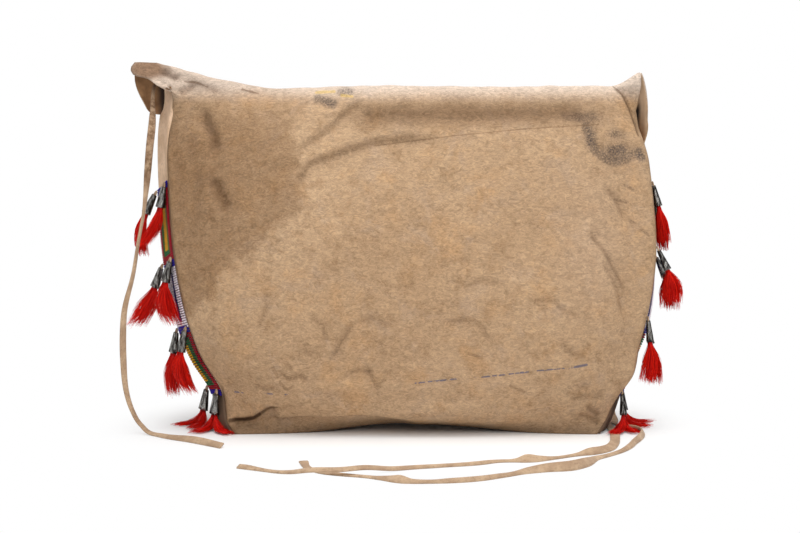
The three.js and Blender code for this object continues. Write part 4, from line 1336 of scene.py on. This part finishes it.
# Each strand's red is drawn at random; the pale orange end of the range is painted highlight.
tone = mix(tree, strand, srgb(170, 2, 4), srgb(252, 38, 16))
paint(tree, shader, mottle(tree, place, tone, srgb(196, 6, 8), 300.0, 0.4, 0.7, 0.3, detail=3.0))
print("materials", tin.name, hair.name)

# %% [markdown]
# A leg of a dangler is a line from the tip of its cone to the end of its tuft. A strand or a thong is a
# thin tube along such a line.

# %% Lines and tubes
def sweep(lines, radii, sides):
    """Tubes along an array of lines, as points and four-sided faces. Their ends are left open."""
    count, steps = lines.shape[:2]
    tangents = np.gradient(lines, axis=1)
    tangents /= np.maximum(np.linalg.norm(tangents, axis=2), 1e-9)[..., None]
    across = np.cross(tangents, RING_GUIDE)
    across /= np.maximum(np.linalg.norm(across, axis=2), 1e-9)[..., None]
    upright = np.cross(tangents, across)
    angles = np.linspace(0, 2 * math.pi, sides, endpoint=False)[None, None, :, None]
    ring = across[:, :, None] * np.cos(angles) + upright[:, :, None] * np.sin(angles)
    points = lines[:, :, None] + ring * np.asarray(radii)[..., None, None]
    faces = []
    for k in range(count):
        for s in range(steps - 1):
            first = (k * steps + s) * sides
            for a in range(sides):
                b = (a + 1) % sides
                faces.append([first + a, first + b, first + sides + b, first + sides + a])
    return points.reshape(-1, 3), faces


def leg_line(sign, length, bend, outward):
    """Tip and axis of one cone, and the middle of its tuft, in the dangler's own place."""
    tip = np.array([0, sign * TIP_SPREAD, -LOOP_HEIGHT])
    axis = np.array([0, sign * math.sin(CONE_FAN), -math.cos(CONE_FAN)])
    points = [tip + axis * d for d in (CONE_LENGTH - TUFT_ROOT, CONE_LENGTH)]
    place = points[-1]
    for i in range(TUFT_STEPS):
        angle = math.radians(bend) * (i + 0.5) / TUFT_STEPS
        way = np.array([0, 0, -1]) * math.cos(angle) + outward * math.sin(angle)
        place = place + way * length / TUFT_STEPS
        points.append(place)
    return tip, axis, np.array(points)


def floor_line(root, mouth, way):
    """The middle of a tuft that drops from the mouth of its cone, turns and lies along the floor."""
    turn = mouth[2] - FLOOR_LINE
    bends = np.radians([18, 36, 54, 72, 90])
    points = [root, mouth]
    points += [mouth + way * turn * (1 - math.cos(b)) - np.array([0, 0, turn]) * math.sin(b) for b in bends]
    points += [points[-1] + way * FLOOR_RUN * share for share in (0.35, 0.7, 1.0)]
    return np.array(points)


# %% Strands
def strand_lines(line, spread_out):
    """Hair from the mouth of a cone: each strand leaves near the middle line and wanders off from it."""
    knots = np.linspace(0, 1, len(line))
    shares = np.linspace(0, 1, STRAND_STEPS)
    strands = []
    for _ in range(STRANDS):
        reach = rng.uniform(*STRAND_REACHES)
        middle = curve_through(knots, line, np.minimum(shares * reach, 1))
        past_end = np.maximum(shares * reach - 1, 0)[:, None]
        middle = middle + (line[-1] - line[-2]) * past_end * (len(line) - 1)
        angle, far = rng.uniform(0, 2 * math.pi), math.sqrt(rng.random())
        way = np.array([math.cos(angle), math.sin(angle), rng.uniform(*STRAND_TILT)])
        fan = HAIR_ROOT + (spread_out - HAIR_ROOT) * smooth(shares, *FAN_SHARES)
        curl = np.sin(shares * rng.uniform(*CURL_RATES) + rng.uniform(*CURL_STARTS)) * CURL_SIZE * shares
        strands.append(middle + way * (far * fan)[:, None] + curl[:, None] * np.array([way[1], -way[0], 0]))
    return np.stack(strands)


# %% Cones
def cone_points(tip, axis):
    """A strip of tin rolled a little past one turn, wider towards its mouth."""
    across = np.array([1.0, 0, 0])
    upright = np.cross(axis, across)
    turns = np.linspace(0, math.radians(CONE_TURN), ROLL_STEPS)
    rows = []
    for share in np.linspace(0, 1, CONE_RINGS):
        outside = TIP_BORE + (CONE_MOUTH - TIP_BORE) * share + TIN_THICKNESS
        radius = outside + LAP_GROWTH * turns / (2 * math.pi)
        ring = across * np.cos(turns)[:, None] + upright * np.sin(turns)[:, None]
        rows.append(tip + axis * CONE_LENGTH * share + ring * radius[:, None])
    return np.stack(rows)


def cone_pair(name, level, legs, world):
    """Both cones of a dangler as one piece."""
    shape = bmesh.new()
    for tip, axis, _ in legs:
        grid = [[shape.verts.new(Vector(p) * MM) for p in row] for row in world(cone_points(tip, axis))]
        for low, high in zip(grid, grid[1:]):
            for a in range(len(low) - 1):
                shape.faces.new([low[a], low[a + 1], high[a + 1], high[a]])
    bmesh.ops.solidify(shape, geom=shape.faces[:], thickness=-TIN_THICKNESS * MM)
    mesh = bpy.data.meshes.new(f"{name}_tin_{level}")
    shape.to_mesh(mesh)
    shape.free()
    cones = link_mesh(mesh.name, mesh, tin, f"{name}_dangler_{level}")
    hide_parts(f"{name}_cone_{level}a", f"{name}_cone_{level}b")


# %% [markdown]
# The thong and both tufts are one piece with two materials. A tuft has a dark core, painted shade inside
# the tuft, so that no light comes through it, and single strands round the core.

# %% Tassels
def thong_line(legs):
    (near_tip, near_axis, _), (far_tip, far_axis, _) = legs
    loop = [near_tip + near_axis * d for d in LEG_STATIONS[::-1]] + [np.zeros(3)]
    loop += [far_tip + far_axis * d for d in LEG_STATIONS]
    return curve_through(np.arange(len(loop)), np.array(loop), np.linspace(0, len(loop) - 1, THONG_STEPS))


def tuft_tubes(line, level):
    """The core and the strands of one tuft, each with a tone for every point."""
    middle = curve_through(np.arange(len(line)), line, np.linspace(0, len(line) - 1.3, CORE_STEPS))
    core_radii = np.interp(np.linspace(0, 1, CORE_STEPS), CORE_SHARES, CORE_RADII)
    core = sweep(middle[None], core_radii[None], 8)
    lines = strand_lines(line, HAIR_SPREAD[level - 1])
    lines[..., 2] = np.maximum(lines[..., 2], LOWEST_HAIR)
    strands = sweep(lines, np.tile(np.linspace(*STRAND_RADII, STRAND_STEPS), (STRANDS, 1)), 3)
    tones = np.repeat([rng.uniform(0.1, 1.0) for _ in range(STRANDS)], STRAND_STEPS * 3)
    # The core gets a dark strand tone, painted shade inside the tuft.
    return [(core, np.full(len(core[0]), CORE_SHADE_TONE)), (strands, tones)]


def tassel(name, level, legs, world):
    lines = [world(line) for _, _, line in legs]
    if level == LOWEST:
        ways = [np.array([math.cos(a), math.sin(a), 0]) for a in np.radians(FLOOR_WAYS[name])]
        lines = [floor_line(line[0], line[1], way) for line, way in zip(lines, ways)]
    thong = sweep(world(thong_line(legs))[None], np.full((1, THONG_STEPS), THONG_RADIUS), 8)
    tubes = [(thong, np.zeros(len(thong[0])))]
    for line in lines:
        tubes += tuft_tubes(line, level)
    starts = np.cumsum([0] + [len(points) for (points, _), _ in tubes]).tolist()
    faces = [[i + start for i in face] for ((_, made), _), start in zip(tubes, starts) for face in made]
    mesh = bpy.data.meshes.new(f"{name}_tuft_{level}")
    mesh.from_pydata((np.concatenate([points for (points, _), _ in tubes]) * MM).tolist(), [], faces)
    layer = mesh.attributes.new("strand", "FLOAT", "POINT")
    layer.data.foreach_set("value", np.concatenate([tones for _, tones in tubes]))
    tuft = link_mesh(mesh.name, mesh, thong_hide, f"{name}_dangler_{level}")
    mesh.materials.append(hair)
    mesh.polygons.foreach_set("material_index", [int(k >= len(thong[1])) for k in range(len(faces))])
    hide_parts(f"{name}_tassel_{level}")


# %% Hang the danglers
def dangler(name, level, lean, bend, pivot):
    side = name.split("_")[0]
    sign = -1 if side == "left" else 1
    turn = -sign * math.atan2(FLARE[side], GUSSET_DEPTH)
    turned = Matrix.Rotation(math.pi if side == "left" else 0, 3, "Z")
    turned = np.array(turned @ Matrix.Rotation(-math.radians(lean), 3, "Y") @ Matrix.Rotation(turn, 3, "Z"))
    outward = np.array([math.cos(turn), -math.sin(turn), 0])
    length = (FLOOR_TUFT_LENGTH if level == LOWEST else TUFT_LENGTH) * HAIR_SHARES[side][level - 1]
    legs = [leg_line(leg_sign, length, bend, outward) for leg_sign in (-1, 1)]

    def world(points):
        return np.asarray(points) @ turned.T + np.array(pivot) / MM

    cone_pair(name, level, legs, world)
    tassel(name, level, legs, world)


pivots = {joint["name"]: joint["pos_m"] for joint in frame["joints"]}
for name, levels in LEANS.items():
    for level, (lean, bend) in enumerate(levels, 1):
        dangler(name, level, lean, bend, pivots[f"{name}_swing_{level}"])
print("danglers", len(pivots))
